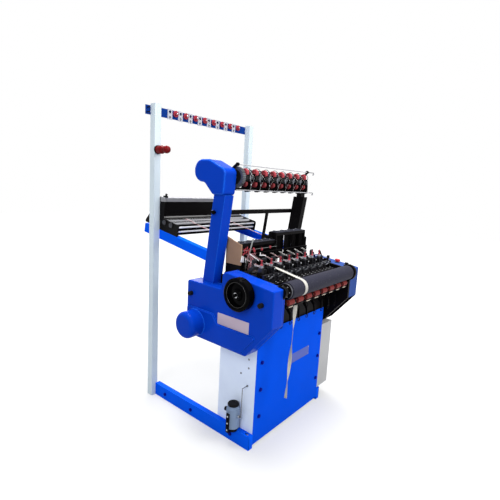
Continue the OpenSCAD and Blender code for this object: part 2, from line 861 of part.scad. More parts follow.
module weft_needle(i) {
    translate([hx(i) + spindle_dx, spindle_y, 0]) {
        color("Silver") {
            translate([0, 0, deck_z + 20]) cylinder(h = needle_z - deck_z - 18, r = spindle_r);
            translate([0, 0, block_top + 0.3]) cylinder(h = 15, r = 9);
            translate([0, 0, needle_z]) rotate(needle_rest) linear_extrude(4) polygon(concat(
                arc([0, 0], 8, 60, 300, 8), [[30, -6], [needle_len, -2], [needle_len, 0], [30, -1], [14, 4]]));
        }
        color("IndianRed") translate([0, 0, needle_z + 3]) cylinder(h = pin_h, r = pin_r);
    }
}

module weft_needle_1() {
    weft_needle(0);
}

module weft_needle_2() {
    weft_needle(1);
}

module weft_needle_3() {
    weft_needle(2);
}

module weft_needle_4() {
    weft_needle(3);
}

module weft_needle_5() {
    weft_needle(4);
}

module weft_needle_6() {
    weft_needle(5);
}

module weft_needle_7() {
    weft_needle(6);
}

module weft_needle_8() {
    weft_needle(7);
}

latch_y = [fell_y - 57, fell_y - 45];

module latch_needle_bar() {
    color("Silver") difference() {
        union() {
            block([latch_pin_x[0] - 8, latch_pin_x[1] + 8], latch_y, [latch_z - 9, latch_z + 9]);
            for (i = [0:head_n - 1]) {
                block([hx(i) + 21, hx(i) + 31], latch_y, [latch_z, latch_needle_z + 6]);
                rod_front(hx(i) + 26, fell_y + 4, latch_needle_z, 50, 1.5);
            }
        }
        for (x = latch_pin_x) rod_front(x, fell_y - 40, latch_z, 25, latch_pin_r + run);
    }
}

reed_w = 44;
dent = 3.4;
reed_y = [fell_y + 72, fell_y + 77];
reed_z = [1110, 1158];
sley_y = [reed_y[0] - 8, reed_y[1] + 9];
sley_z = [1096, reed_z[0] + 2];
sley_end = 44;
batten_arm = [
    [batten_yz[0] - 12, 1060], [batten_yz[0] + 11, 1060], [batten_yz[0] + 8, 1082],
    [sley_y[1], sley_z[1]], [sley_y[0] + 2, sley_z[1]], [sley_y[0] + 2, sley_z[0] + 2]
];

module reed_batten() {
    color("Gray") {
        rod_x(16, bed_len - 32, batten_yz, batten_r);
        for (x = [48, hx(2.5), hx(4.5), bed_len - 60])
            along_x(x, 12) polygon(batten_arm);
        block([sley_end, bed_len - sley_end], sley_y, sley_z);
        for (i = [0:head_n - 1]) difference() {
            block([hx(i) - reed_w / 2, hx(i) + reed_w / 2], reed_y, reed_z);
            for (k = [-5:5]) let (x = hx(i) + dent * k)
                block([x - dent / 3, x + dent / 3], sley_y, [reed_z[0] + 8, reed_z[1] - 8]);
        }
    }
}

guide_x = [36, harness_mid - guide_t / 2, hx(7) + 37];

module heald(x0, x1, y, z) {
    h = heald_t / 2;
    difference() {
        block([x0, x1], [y - h, y + h], [z, z + heald_h]);
        block([x0 + 12, x1 - 12], [y - h - 1, y + h + 1], [z + 20, z + heald_h - 20]);
        block([x0 - 1, x1 + 1], [y - 5, y + 5], [z + heald_h - 7, z + heald_h + 1]);
    }
}

heddle_pitch = 5;

module heddles(n0, y, z) {
    for (i = [n0:n0 + 3], k = [-4:4]) let (x = hx(i) + heddle_pitch * k)
        block([x - 0.7, x + 0.7], [y - 4, y + 4], [z + 18, z + heald_h - 18]);
}

module heald_pair(side, k) {
    z = heald_low + (side == 0 ? 0 : heald_up);
    x0 = guide_x[side] + guide_t - slot_d + slot_gap;
    x1 = guide_x[side + 1] + slot_d - slot_gap;
    color("DimGray") heald(x0, x1, heald_y[k], z);
    color("Silver") heddles(4 * side, heald_y[k], z);
}

module heald_left_1() {
    heald_pair(0, 0);
}

module heald_left_2() {
    heald_pair(0, 1);
}

module heald_right_1() {
    heald_pair(1, 0);
}

module heald_right_2() {
    heald_pair(1, 1);
}

guide_profile = [[200, deck_z], [deck_rear, deck_z], [deck_rear, guide_top + 14], [200, guide_top - 26]];
slot_gap = 0.4;

module harness_guides() {
    slot_z = [deck_z + 12, guide_top + 20];
    h = heald_t / 2 + slot_gap;
    color("Peru") for (k = [0:2]) difference() {
        x = guide_x[k];
        union() {
            along_x(x, guide_t) polygon(guide_profile);
            block([x - 8, x + guide_t + 8], [292, deck_rear], [deck_z, deck_z + 12]);
        }
        for (y = heald_y) {
            if (k < 2) block([x + guide_t - slot_d, x + guide_t + 1], [y - h, y + h], slot_z);
            if (k > 0) block([x - 1, x + slot_d], [y - h, y + h], slot_z);
        }
    }
}

// Place along the rails of the piece that reaches the right post.
spacer_y = (post_y - col_y) / cos(lean + rail_rise) + 20;

module rear_rails() {
    color("RoyalBlue") leaning() difference() {
        rising() {
            translate([rail_l, rail_y0 - rail_h, rail_top - rail_h])
                channel(rail_len + rail_h, rail_h, rail_w, channel_t);
            translate([rail_r + rail_w, rail_y0 - rail_h, rail_top - rail_h]) mirror([1, 0, 0])
                channel(rail_len + rail_h, rail_h, rail_w, channel_t);
            block([rail_r + rail_w - 1, post_r - post_w / 2], [spacer_y - 20, spacer_y + 20],
                [rail_top - rail_h + 8, rail_top - 8]);
        }
        block([rail_l - 1, rail_r + rail_w + 1], [rail_y0 - 2 * rail_h, rail_y0], [0, 2 * rail_top]);
    }
}

unit_y = [425, rail_y0 + rail_len];
unit_foot = 690;
unit_top = 400;
cheek_z = [240, 252, 256];
bar_y = [604, 640];
bar_t = 28;
panel_r = 0.75 * bed_len;
panel_y = [620, 626];
panel_z = [264, unit_top - bar_t + 1];
tray_y = [450, 600];
tray_up = 12;
sheet_y = [590, 700];
sheet_z = [250, 258];
cheek_front = [[592, cheek_z[2]], [unit_y[0] + 11, cheek_z[1]], [unit_y[0], cheek_z[0]]];
left_cheek = concat([
    [unit_y[0], rail_top], [unit_foot, rail_top], [unit_foot + 12, rail_top + tray_up],
    [unit_y[1], rail_top + tray_up], [unit_y[1], rail_top + 28], [bar_y[1] + 14, unit_top],
    [bar_y[0] - 8, unit_top]
], cheek_front);
right_cheek = concat([[unit_y[0], rail_top], [unit_foot, rail_top], [unit_foot, sheet_z[0]]], cheek_front);
panel_stay = [
    [bar_y[0] - 8, sheet_z[0] + 2], [unit_foot, sheet_z[0] + 2],
    [bar_y[1] + 14, unit_top], [bar_y[0] - 4, unit_top]
];

module stop_motion_frame() {
    inner = [stop_l + 1, stop_r - 1];
    leaning() rising() {
        color("Black") difference() {
            union() {
                along_x(stop_l, stop_t) polygon(left_cheek);
                along_x(stop_r - stop_t, stop_t) polygon(right_cheek);
                along_x(panel_r - stop_t, stop_t) polygon(panel_stay);
                block([stop_l + 1, panel_r - 1], panel_y, panel_z);
                block(inner, tray_y, [rail_top + tray_up, rail_top + tray_up + channel_t]);
            }
            for (g = guide_yz, x = [stop_l, stop_r - stop_t]) rod_x(x - 1, stop_t + 2, g, guide_pin_r + run);
        }
        color("Gray") block([stop_l, panel_r], bar_y, [unit_top - bar_t, unit_top + 0.5]);
        color("Gray") block(inner, sheet_y, sheet_z);
    }
}

module guide_roller(g) {
    color("Silver") leaning() rising() {
        rod_x(stop_l + stop_t + 1, stop_r - stop_l - 2 * stop_t - 2, g, guide_r);
        rod_x(stop_l - 3, stop_r - stop_l + 6, g, guide_pin_r);
    }
}

module guide_roller_1() {
    guide_roller(guide_yz[0]);
}

module guide_roller_2() {
    guide_roller(guide_yz[1]);
}

tape_mid_r = roller_r + nip_gap / 2;
rest_top = 1112;
fell_z = rest_top + tape_t / 2 + 0.3;
lip = [fell_y - 17, fell_z];
lip_d = lip - take_yz;
tape_a0 = atan2(lip_d[1], lip_d[0]) + acos(tape_mid_r / norm(lip_d));
tape_end = 430;

module woven_tape() {
    path = concat(
        [[fell_y + 10, fell_z], lip],
        arc(take_yz, tape_mid_r, tape_a0, 360 + nip_dir, 30),
        arc(press_yz, press_r + nip_gap / 2, 180 + nip_dir, 0, 14),
        [[press_yz[0] + press_r + nip_gap / 2, tape_end]]
    );
    color("Linen") along_x(hx(1) - tape_w / 2, tape_w) polygon(strip(path, tape_t));
}

translate(-mid) {
    base_beam_left();
    base_beam_right();
    cabinet_body();
    front_panel();
    panel_bolts();
    electrical_box();
    electrical_door();
    oil_pump();
    oil_handle();
    oil_pipe();
    left_post();
    right_post();
    creel_bar();
    creel_tensioners();
    signal_lamp();
    left_frame_plate();
    right_frame_plate();
    left_cover();
    right_cover();
    cover_knobs();
    bed();
    handwheel();
    main_shaft();
    drive_motor();
    motor_pulley();
    drive_belt();
    take_up_roller();
    take_up_shaft();
    press_levers();
    press_rollers();
    left_column();
    right_column();
    swan_neck();
    tie_bar();
    feeder_beam();
    feeder_shaft();
    feeder_wheels();
    head_blocks();
    weft_needle_1();
    weft_needle_2();
    weft_needle_3();
    weft_needle_4();
    weft_needle_5();
    weft_needle_6();
    weft_needle_7();
    weft_needle_8();
    latch_needle_bar();
    reed_batten();
    heald_left_1();
    heald_left_2();
    heald_right_1();
    heald_right_2();
    harness_guides();
    rear_rails();
    stop_motion_frame();
    guide_roller_1();
    guide_roller_2();
    woven_tape();
    stop_button();
    start_button();
}
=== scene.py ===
"""Needle loom: finishes, fittings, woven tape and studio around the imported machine.

Places are in machine metres, X to the right, Y to the rear and Z up, from the cabinet's front left corner.
"""
import logging
import math
from dataclasses import dataclass
from enum import Enum
from typing import Any, Iterable, Sequence

import bmesh
import bpy
from mathutils import Matrix, Vector


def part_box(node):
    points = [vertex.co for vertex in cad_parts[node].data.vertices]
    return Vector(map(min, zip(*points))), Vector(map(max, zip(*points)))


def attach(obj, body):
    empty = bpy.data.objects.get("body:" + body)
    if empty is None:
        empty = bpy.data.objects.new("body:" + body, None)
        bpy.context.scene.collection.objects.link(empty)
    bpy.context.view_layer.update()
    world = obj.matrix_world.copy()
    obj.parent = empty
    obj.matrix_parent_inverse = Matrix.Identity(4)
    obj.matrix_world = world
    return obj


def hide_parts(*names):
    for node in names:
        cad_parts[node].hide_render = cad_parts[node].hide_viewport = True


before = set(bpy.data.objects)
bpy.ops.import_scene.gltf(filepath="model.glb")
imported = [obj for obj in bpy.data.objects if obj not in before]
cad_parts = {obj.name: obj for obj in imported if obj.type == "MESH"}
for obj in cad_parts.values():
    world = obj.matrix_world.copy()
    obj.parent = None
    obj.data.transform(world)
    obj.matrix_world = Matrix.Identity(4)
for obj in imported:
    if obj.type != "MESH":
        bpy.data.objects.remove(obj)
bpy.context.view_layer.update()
LOG = logging.getLogger("needle_loom")

Point = tuple[float, float, float]
Pair = tuple[float, float]
Color = tuple[float, float, float]
Profile = tuple[Pair, ...]

PANEL_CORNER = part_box("front_panel")[0]
ORIGIN = Vector((PANEL_CORNER[0], PANEL_CORNER[1], 0.0))
LEFT = (-1.0, 0.0, 0.0)
RIGHT = (1.0, 0.0, 0.0)
FRONT = (0.0, -1.0, 0.0)
BACK = (0.0, 1.0, 0.0)
UP = (0.0, 0.0, 1.0)

HEAD_COUNT = 8
HEAD_PITCH = 0.095
HEAD_X0 = 0.070
FELL_Y = 0.045
DECK_Z = 1.040
STRIP_Z = 1.046
GUIDE_BAR = (0.184, 1.178)
LEFT_HEALDS = (0.050, 0.395)
RIGHT_HEALDS = (0.410, 0.770)
TAKE_UP = (-0.150, 1.028)
PRESS_ROLL = (-0.1524, 0.9582)
FEED_X0 = 0.120
FEED_PITCH = 0.095
FEED_SHAFT = (0.270, 1.640)
UPPER_ROD = (0.254, 1.714)
LOWER_ROD = (0.250, 1.564)
LEAN = math.radians(7.5)
LEAN_FOOT = (0.332, 0.985)
RISE = math.radians(2.1)
RAIL_FOOT = (0.090, 0.107)
SMOOTH_ANGLE = math.radians(38)


def head_x(index: float) -> float:
    """Machine X of a weaving head."""
    return HEAD_X0 + HEAD_PITCH * index


def feed_x(index: int) -> float:
    """Machine X of a feed wheel."""
    return FEED_X0 + FEED_PITCH * index


def on_circle(radius: float, angle: float) -> Pair:
    """Place on a circle about the origin."""
    return radius * math.cos(angle), radius * math.sin(angle)


def leaning(y: float, z: float) -> Pair:
    """Turns a place in the frame of the leaning columns into machine Y and Z.

    Args:
        y: Depth behind the column's front face.
        z: Height along the column.

    Returns:
        Machine Y and Z.
    """
    c, s = math.cos(LEAN), math.sin(LEAN)
    return LEAN_FOOT[0] + y * c - z * s, LEAN_FOOT[1] + y * s + z * c


def rising(y: float, z: float) -> Pair:
    """Turns a place in the frame of the rails into machine Y and Z.

    Args:
        y: Depth along the rails, from the column's front face.
        z: Height square to the rails.

    Returns:
        Machine Y and Z.
    """
    c, s = math.cos(RISE), math.sin(RISE)
    dy, dz = y - RAIL_FOOT[0], z - RAIL_FOOT[1]
    return leaning(RAIL_FOOT[0] + dy * c - dz * s, RAIL_FOOT[1] + dy * s + dz * c)


class Wire:
    """A shader socket that takes part in Python arithmetic."""

    def __init__(self, graph: "Graph", socket: Any) -> None:
        """Keeps the socket and the graph that it belongs to."""
        self.graph = graph
        self.socket = socket

    def _math(self, operation: str, first: Any, second: Any) -> "Wire":
        """Adds one Math node."""
        return self.graph.add("ShaderNodeMath", {0: first, 1: second}, operation=operation)

    def __add__(self, other: Any) -> "Wire":
        """Sum."""
        return self._math("ADD", self, other)

    def __sub__(self, other: Any) -> "Wire":
        """Difference."""
        return self._math("SUBTRACT", self, other)

    def __rsub__(self, other: Any) -> "Wire":
        """Reflected difference."""
        return self._math("SUBTRACT", other, self)

    def __mul__(self, other: Any) -> "Wire":
        """Product."""
        return self._math("MULTIPLY", self, other)

    def __pow__(self, other: Any) -> "Wire":
        """Power."""
        return self._math("POWER", self, other)

    def __gt__(self, other: Any) -> "Wire":
        """One where this value is greater."""
        return self._math("GREATER_THAN", self, other)

    __radd__ = __add__
    __rmul__ = __mul__


def shade(color: Color, factor: float) -> Color:
    """A colour made darker or lighter."""
    return tuple(min(1.0, c * factor) for c in color)


class Graph:
    """Node tree of a material or of the world."""

    edge_turn: Pair = (0.985, 0.80)

    def __init__(self, owner: Any) -> None:
        """Empties the node tree.

        Args:
            owner: Material or world that has the tree.
        """
        owner.use_nodes = True
        self.owner = owner
        self.tree = owner.node_tree
        self.tree.nodes.clear()

    def add(self, kind: str, sockets: dict | None = None, out: Any = 0, **settings: Any) -> Wire:
        """Adds a node, its settings first and then its sockets.

        Args:
            kind: Blender's name of the node type.
            sockets: Values or wires by input name or index.
            out: Name or index of the output that is returned.
            **settings: Attributes of the node.

        Returns:
            The chosen output, which is empty on an output node.
        """
        node = self.tree.nodes.new(kind)
        for key, value in settings.items():
            setattr(node, key, value)
        for key, value in (sockets or {}).items():
            if isinstance(value, Wire):
                self.tree.links.new(value.socket, node.inputs[key])
            elif isinstance(value, tuple) and node.inputs[key].type == "RGBA":
                node.inputs[key].default_value = (*value, 1.0)
            else:
                node.inputs[key].default_value = value
        return Wire(self, node.outputs[out] if node.outputs else None)

    def noise(self, scale: float, detail: float, stretch: Point = (1, 1, 1)) -> Wire:
        """Noise between 0 and 1 on Object coordinates.

        Args:
            scale: Fineness of the pattern.
            detail: Number of finer layers.
            stretch: Fineness along each axis, times the scale.

        Returns:
            The noise.
        """
        where = self.add("ShaderNodeTexCoord", out="Object")
        place = self.add("ShaderNodeMapping", {"Vector": where, "Scale": stretch})
        return self.add("ShaderNodeTexNoise", {"Vector": place, "Scale": scale, "Detail": detail}, out="Fac")

    def ramp(self, value: Wire, low: float, high: float) -> Wire:
        """Soft step from 0 at low to 1 at high."""
        return self.add("ShaderNodeMapRange", {"Value": value, "From Min": low, "From Max": high},
                        interpolation_type="SMOOTHSTEP")

    def mix(self, factor: Any, first: Any, second: Any) -> Wire:
        """Mixes two colours."""
        return self.add("ShaderNodeMix", {0: factor, 6: first, 7: second}, out=2, data_type="RGBA")

    def tones(self, factor: Wire, color: Color, limits: Pair) -> Wire:
        """A colour that runs between two brightnesses."""
        return self.mix(factor, shade(color, limits[0]), shade(color, limits[1]))

    def axis(self, name: str) -> Wire:
        """One Object coordinate, in metres."""
        where = self.add("ShaderNodeTexCoord", out="Object")
        return self.add("ShaderNodeSeparateXYZ", {"Vector": where}, out=name)

    def bump(self, height: Wire, strength: float, distance: float) -> Wire:
        """Normal from a height."""
        return self.add("ShaderNodeBump", {"Height": height, "Strength": strength, "Distance": distance})

    def edges(self, radius: float) -> Wire:
        """Finds the edges of the forms.

        Args:
            radius: Reach of an edge over the faces beside it.

        Returns:
            One along the edges and zero on the faces.
        """
        rounded = self.add("ShaderNodeBevel", {"Radius": radius}, samples=4)
        face = self.add("ShaderNodeNewGeometry", out="Normal")
        turn = self.add("ShaderNodeVectorMath", {0: rounded, 1: face}, out="Value", operation="DOT_PRODUCT")
        return self.ramp(turn, *self.edge_turn)

    def close(self, **sockets: Any) -> Any:
        """Adds the Principled shader and the output.

        Args:
            **sockets: Principled inputs, with underscores for spaces.

        Returns:
            The finished material.
        """
        shader = self.add("ShaderNodeBsdfPrincipled", {k.replace("_", " "): v for k, v in sockets.items()})
        self.add("ShaderNodeOutputMaterial", {"Surface": shader})
        return self.owner


class Finish:
    """A surface finish; its material is made once."""

    made: dict[str, bpy.types.Material] = {}
    name: str

    def material(self) -> bpy.types.Material:
        """The finish's material, built at first use."""
        if self.name not in Finish.made:
            Finish.made[self.name] = self.build(Graph(bpy.data.materials.new(self.name)))
        return Finish.made[self.name]

    def build(self, g: Graph) -> bpy.types.Material:
        """Fills the material's node tree."""
        raise NotImplementedError


@dataclass(frozen=True)
class Paint(Finish):
    """Sprayed enamel: slight orange peel, uneven gloss, pale edges that are partly wear and partly painted
    highlight, and dust toward the floor.
    """

    name: str
    color: Color
    roughness: float = 0.40
    peel: float = 0.10
    dust: float = 0.05
    mirror: float = 0.02
    # Strength, reach and colour of the pale edges, which are partly wear and partly a painted highlight.
    wear_and_highlight: float = 0.0
    wear_and_highlight_reach: float = 0.004
    wear_and_highlight_lift: Color = (0.015, 0.10, 0.14)
    wear_and_highlight_gain: float = 1.7
    wear_and_highlight_patches: Pair = (0.4, 0.6)
    cloud_scale: float = 6.0
    cloud_tones: Pair = (0.90, 1.08)
    peel_scale: float = 55.0
    peel_depth: float = 0.0012
    dust_scale: float = 11.0
    dust_limits: Pair = (0.45, 0.8)
    dust_top: float = 0.5
    dust_pales: Pair = (0.7, 0.05)
    dust_dulls: float = 0.5
    gloss_spread: float = 0.10
    cloud_relief: float = 0.6

    def build(self, g: Graph) -> bpy.types.Material:
        """Fills the material's node tree.

        Args:
            g: The empty tree.

        Returns:
            The finished material.
        """
        cloud = g.noise(self.cloud_scale, detail=4.0)
        fine = g.noise(self.peel_scale, detail=2.0)
        patches = g.ramp(g.noise(self.dust_scale, detail=6.0), *self.dust_limits)
        grime = patches * g.ramp(g.axis("Z"), self.dust_top, 0.0) * self.dust
        tone = g.tones(cloud, self.color, self.cloud_tones)
        fade, lift = self.dust_pales
        dusty = tuple(fade * c + lift for c in self.color)
        # Pale band along every edge: partly wear, partly a painted highlight on the edges.
        if self.wear_and_highlight:
            worn_and_highlit = tuple(min(1.0, self.wear_and_highlight_gain * c + d) for c, d in zip(self.color, self.wear_and_highlight_lift))
            least, more = self.wear_and_highlight_patches
            tone = g.mix(g.edges(self.wear_and_highlight_reach) * (least + more * fine) * self.wear_and_highlight, tone, worn_and_highlit)
        return g.close(
            Base_Color=g.mix(grime, tone, dusty),
            Roughness=self.roughness + self.gloss_spread * (cloud - 0.5) + grime * self.dust_dulls,
            Specular_IOR_Level=self.mirror,
            Normal=g.bump(fine + cloud * self.cloud_relief, self.peel, self.peel_depth))


@dataclass(frozen=True)
class Metal(Finish):
    """Ground or polished metal with fine marks along one direction."""

    name: str
    color: Color
    roughness: float = 0.28
    grain: Point = (1.0, 30.0, 30.0)
    grain_scale: float = 38.0
    marks: float = 0.12
    mark_depth: float = 0.0004
    stain: float = 0.25
    stain_scale: float = 24.0
    stain_limits: Pair = (0.42, 0.75)
    stain_tone: float = 0.55
    stain_dulls: float = 0.08
    gloss_spread: float = 0.16

    def build(self, g: Graph) -> bpy.types.Material:
        """Fills the material's node tree.

        Args:
            g: The empty tree.

        Returns:
            The finished material.
        """
        lines = g.noise(self.grain_scale, detail=3.0, stretch=self.grain)
        patch = g.ramp(g.noise(self.stain_scale, detail=4.0), *self.stain_limits)
        return g.close(
            Base_Color=g.mix(patch * self.stain, self.color, shade(self.color, self.stain_tone)),
            Metallic=1.0,
            Roughness=self.roughness + self.gloss_spread * (lines - 0.5) + patch * self.stain_dulls,
            Normal=g.bump(lines, self.marks, self.mark_depth))


@dataclass(frozen=True)
class Moulded(Finish):
    """Moulded plastic with a faint grain and uneven gloss."""

    name: str
    color: Color
    roughness: float = 0.35
    grain: float = 0.08
    grain_scale: float = 400.0
    grain_depth: float = 0.0003
    mirror: float = 0.10
    cloud_scale: float = 30.0
    cloud_tones: Pair = (0.82, 1.12)
    gloss_spread: float = 0.12

    def build(self, g: Graph) -> bpy.types.Material:
        """Fills the material's node tree.

        Args:
            g: The empty tree.

        Returns:
            The finished material.
        """
        cloud = g.noise(self.cloud_scale, detail=3.0)
        return g.close(
            Base_Color=g.tones(cloud, self.color, self.cloud_tones),
            Roughness=self.roughness + self.gloss_spread * (cloud - 0.5),
            Specular_IOR_Level=self.mirror,
            Normal=g.bump(g.noise(self.grain_scale, detail=2.0), self.grain, self.grain_depth))


@dataclass(frozen=True)
class Rubber(Finish):
    """Ground rubber or yarn: fine grain with lint and faint running bands."""

    name: str
    color: Color
    roughness: float = 0.62
    mirror: float = 0.06
    lint: Color = (0.35, 0.34, 0.33)
    lint_share: float = 0.18
    lint_scale: float = 90.0
    lint_limits: Pair = (0.52, 0.8)
    band_scale: float = 60.0
    band_stretch: Point = (1.0, 0.04, 0.04)
    band_tones: Pair = (0.8, 1.25)
    band_relief: float = 0.5
    gloss_spread: float = 0.2
    grit: float = 0.18
    grit_scale: float = 700.0
    grit_depth: float = 0.0005

    def build(self, g: Graph) -> bpy.types.Material:
        """Fills the material's node tree.

        Args:
            g: The empty tree.

        Returns:
            The finished material.
        """
        bands = g.noise(self.band_scale, detail=2.0, stretch=self.band_stretch)
        grains = g.noise(self.grit_scale, detail=2.0)
        fluff = g.ramp(g.noise(self.lint_scale, detail=5.0), *self.lint_limits) * self.lint_share
        return g.close(
            Base_Color=g.mix(fluff, g.tones(bands, self.color, self.band_tones), self.lint),
            Roughness=self.roughness + self.gloss_spread * (bands - 0.5),
            Specular_IOR_Level=self.mirror,
            Normal=g.bump(grains + bands * self.band_relief, self.grit, self.grit_depth))


@dataclass(frozen=True)
class Weave(Finish):
    """Woven tape: picks across and ends along, read from the tape's own map."""

    name: str
    color: Color
    picks: float = 900.0
    ends: float = 14.0
    roughness: float = 0.85
    sheen: float = 0.2
    relief: float = 0.5
    relief_depth: float = 0.0006
    thread_tones: Pair = (0.78, 1.0)
    soil: float = 0.35
    soil_tone: float = 0.7
    soil_scale: float = 35.0
    soil_limits: Pair = (0.4, 0.8)

    def build(self, g: Graph) -> bpy.types.Material:
        """Fills the material's node tree.

        Args:
            g: The empty tree.

        Returns:
            The finished material.
        """
        flat = g.add("ShaderNodeTexCoord", out="UV")
        across = g.add("ShaderNodeSeparateXYZ", {"Vector": flat}, out="X")
        along = g.add("ShaderNodeSeparateXYZ", {"Vector": flat}, out="Y")
        rib = g.add("ShaderNodeMath", {0: across * (self.ends * math.tau)}, operation="SINE")
        pick = g.add("ShaderNodeMath", {0: along * self.picks}, operation="SINE")
        cloth = rib * pick * 0.5 + 0.5
        dirt = g.ramp(g.noise(self.soil_scale, detail=5.0), *self.soil_limits)
        tone = g.tones(cloth, self.color, self.thread_tones)
        return g.close(
            Base_Color=g.mix(dirt * self.soil, tone, shade(self.color, self.soil_tone)),
            Roughness=self.roughness,
            Sheen_Weight=self.sheen,
            Normal=g.bump(cloth, self.relief, self.relief_depth))


ANYWHERE = (-9.0, 9.0)


@dataclass(frozen=True)
class Zone:
    """A box of the machine, by its limits in machine metres, that has a colour of its own."""

    color: Color
    x: Pair = ANYWHERE
    y: Pair = ANYWHERE
    z: Pair = ANYWHERE

    def mask(self, g: Graph) -> Wire:
        """Marks the zone in a node tree.

        Args:
            g: The tree that takes the nodes.

        Returns:
            One inside the zone and zero outside.
        """
        inside: Any = 1.0
        for name, limits, shift in zip("XYZ", (self.x, self.y, self.z), ORIGIN):
            if limits != ANYWHERE:
                place = g.axis(name)
                inside = (place > limits[0] + shift) * (1.0 - (place > limits[1] + shift)) * inside
        return inside


@dataclass(frozen=True)
class Zoned(Finish):
    """One node in several colours, parted along the limits of its forms."""

    name: str
    color: Color
    zones: tuple[Zone, ...]
    roughness: float = 0.36
    mirror: float = 0.05
    peel: float = 0.08
    peel_scale: float = 180.0
    peel_depth: float = 0.0005
    cloud_scale: float = 26.0
    cloud_tone: float = 0.78
    gloss_spread: float = 0.14

    def build(self, g: Graph) -> bpy.types.Material:
        """Fills the material's node tree.

        Args:
            g: The empty tree.

        Returns:
            The finished material.
        """
        cloud = g.noise(self.cloud_scale, detail=4.0)
        tone: Any = self.color
        for zone in self.zones:
            tone = g.mix(zone.mask(g), tone, zone.color)
        dull = g.mix(self.cloud_tone, (0.0, 0.0, 0.0), tone)
        return g.close(
            Base_Color=g.mix(cloud, dull, tone),
            Roughness=self.roughness + self.gloss_spread * (cloud - 0.5),
            Specular_IOR_Level=self.mirror,
            Normal=g.bump(g.noise(self.peel_scale, detail=2.0), self.peel, self.peel_depth))


@dataclass(frozen=True)
class Hubbed(Finish):
    """Moulded wheels with a dark hub and a duller lower lobe about a shaft along X."""

    name: str
    color: Color
    low: Color
    hub: Color
    hub_radius: float
    shaft: Pair
    hub_blend: float = 0.002
    lobe_blend: float = 0.004
    roughness: float = 0.34
    mirror: float = 0.16
    grain: float = 0.08
    grain_scale: float = 300.0
    grain_depth: float = 0.0003
    cloud: float = 0.3
    cloud_scale: float = 40.0
    gloss_spread: float = 0.12

    def build(self, g: Graph) -> bpy.types.Material:
        """Fills the material's node tree.

        Args:
            g: The empty tree.

        Returns:
            The finished material.
        """
        cloud = g.noise(self.cloud_scale, detail=3.0)
        side = g.axis("Y") - (self.shaft[0] + ORIGIN.y)
        up = g.axis("Z") - (self.shaft[1] + ORIGIN.z)
        radius = (side * side + up * up) ** 0.5
        lobe = g.mix(g.ramp(up, 0.0, -self.lobe_blend), self.color, self.low)
        face = g.mix(cloud * self.cloud, lobe, (0.0, 0.0, 0.0))
        centre = g.ramp(radius, self.hub_radius, self.hub_radius - self.hub_blend)
        return g.close(
            Base_Color=g.mix(centre, face, self.hub),
            Roughness=self.roughness + self.gloss_spread * (cloud - 0.5),
            Specular_IOR_Level=self.mirror,
            Normal=g.bump(g.noise(self.grain_scale, detail=2.0), self.grain, self.grain_depth))


ROYAL = (0.0014, 0.074, 0.69)
# Shaded copy of the royal blue enamel: painted shade on the left cover, column, swan neck and left frame
# plate.
SHADED_BLUE = (0.0014, 0.041, 0.43)
PITCH = (0.0036, 0.0030, 0.0034)
SILVER = (0.30, 0.30, 0.33)
ROD_STEEL = (0.42, 0.42, 0.44)
TRAY_GREY = (0.20, 0.21, 0.21)

BLUE = Paint("royal_blue_enamel", ROYAL, mirror=0.005, wear_and_highlight=0.35)
# The head's blue is the painted-shade copy of the royal blue.
HEAD_BLUE = Paint("blue_enamel_painted_shade", SHADED_BLUE, roughness=0.20, peel=0.06, mirror=0.03, wear_and_highlight=0.9,
                  wear_and_highlight_reach=0.007)
# Lit copy of the royal blue enamel: painted light on the left base beam, the rear rails and the beam end
# caps.
LIT_BLUE = Paint("blue_enamel_painted_light", (0.0016, 0.100, 0.85), mirror=0.008, wear_and_highlight=0.35)
CREEL_BLUE = Paint("creel_blue_enamel", (0.005, 0.036, 0.22), mirror=0.01)
DARK_BLUE = Paint("dark_blue_enamel", (0.002, 0.005, 0.20), roughness=0.35)
WHITE = Paint("cool_white_enamel", (0.64, 0.73, 0.79), roughness=0.48, dust=0.5)
PANEL_WHITE = Paint("pale_panel_enamel", (0.70, 0.79, 1.0), roughness=0.48, dust=0.5)
CREAM = Paint("pale_box_enamel", (0.43, 0.43, 0.435), roughness=0.5, dust=0.4)
GREY_BLUE = Paint("grey_blue_hammered", (0.17, 0.24, 0.37), roughness=0.4, peel=0.3)
BLACK = Paint("black_enamel", PITCH, roughness=0.42, dust=0.1, mirror=0.03)
BLACK_GLOSS = Moulded("black_gloss", (0.0012, 0.0012, 0.0016), roughness=0.11, grain=0.02, mirror=0.018)
RIM_GLOSS = Moulded("rim_gloss", (0.002, 0.002, 0.0026), roughness=0.08, grain=0.02, mirror=0.6)
BLACK_MATTE = Moulded("black_moulded", (0.007, 0.007, 0.008), roughness=0.5, mirror=0.05)
STEEL = Metal("ground_steel", (0.40, 0.41, 0.43), roughness=0.28)
DULL_STEEL = Metal("dull_steel", (0.15, 0.155, 0.175), roughness=0.42, stain=0.5)
CHROME = Metal("polished_chrome", (0.42, 0.42, 0.45), roughness=0.14, marks=0.03, stain=0.08)
HEAD_STEEL = Metal("dark_head_steel", (0.055, 0.055, 0.064), roughness=0.36, stain=0.6)
REED_METAL = Metal("dark_reed_metal", (0.066, 0.066, 0.076), roughness=0.45)
REAR_GREY = Metal("galvanised_tray", TRAY_GREY, roughness=0.45)
PLATE_PAINT = Paint("plain_plate", (0.46, 0.38, 0.47), roughness=0.5)
PLATE_BLUE = Paint("pale_blue_plate", (0.10, 0.13, 0.42), roughness=0.5)
TAG_CREAM = Moulded("cream_tags", (0.44, 0.37, 0.30), roughness=0.45)
GEAR_GREY = Moulded("dark_gear", (0.074, 0.079, 0.090), roughness=0.4, grain=0.3)
HEALD_GREY = Moulded("dark_heald", (0.036, 0.037, 0.052), roughness=0.45)
RED = Moulded("red_plastic", (0.44, 0.026, 0.038), roughness=0.30)
PINK_RED = Moulded("pink_red_plastic", (0.40, 0.050, 0.066), roughness=0.35)
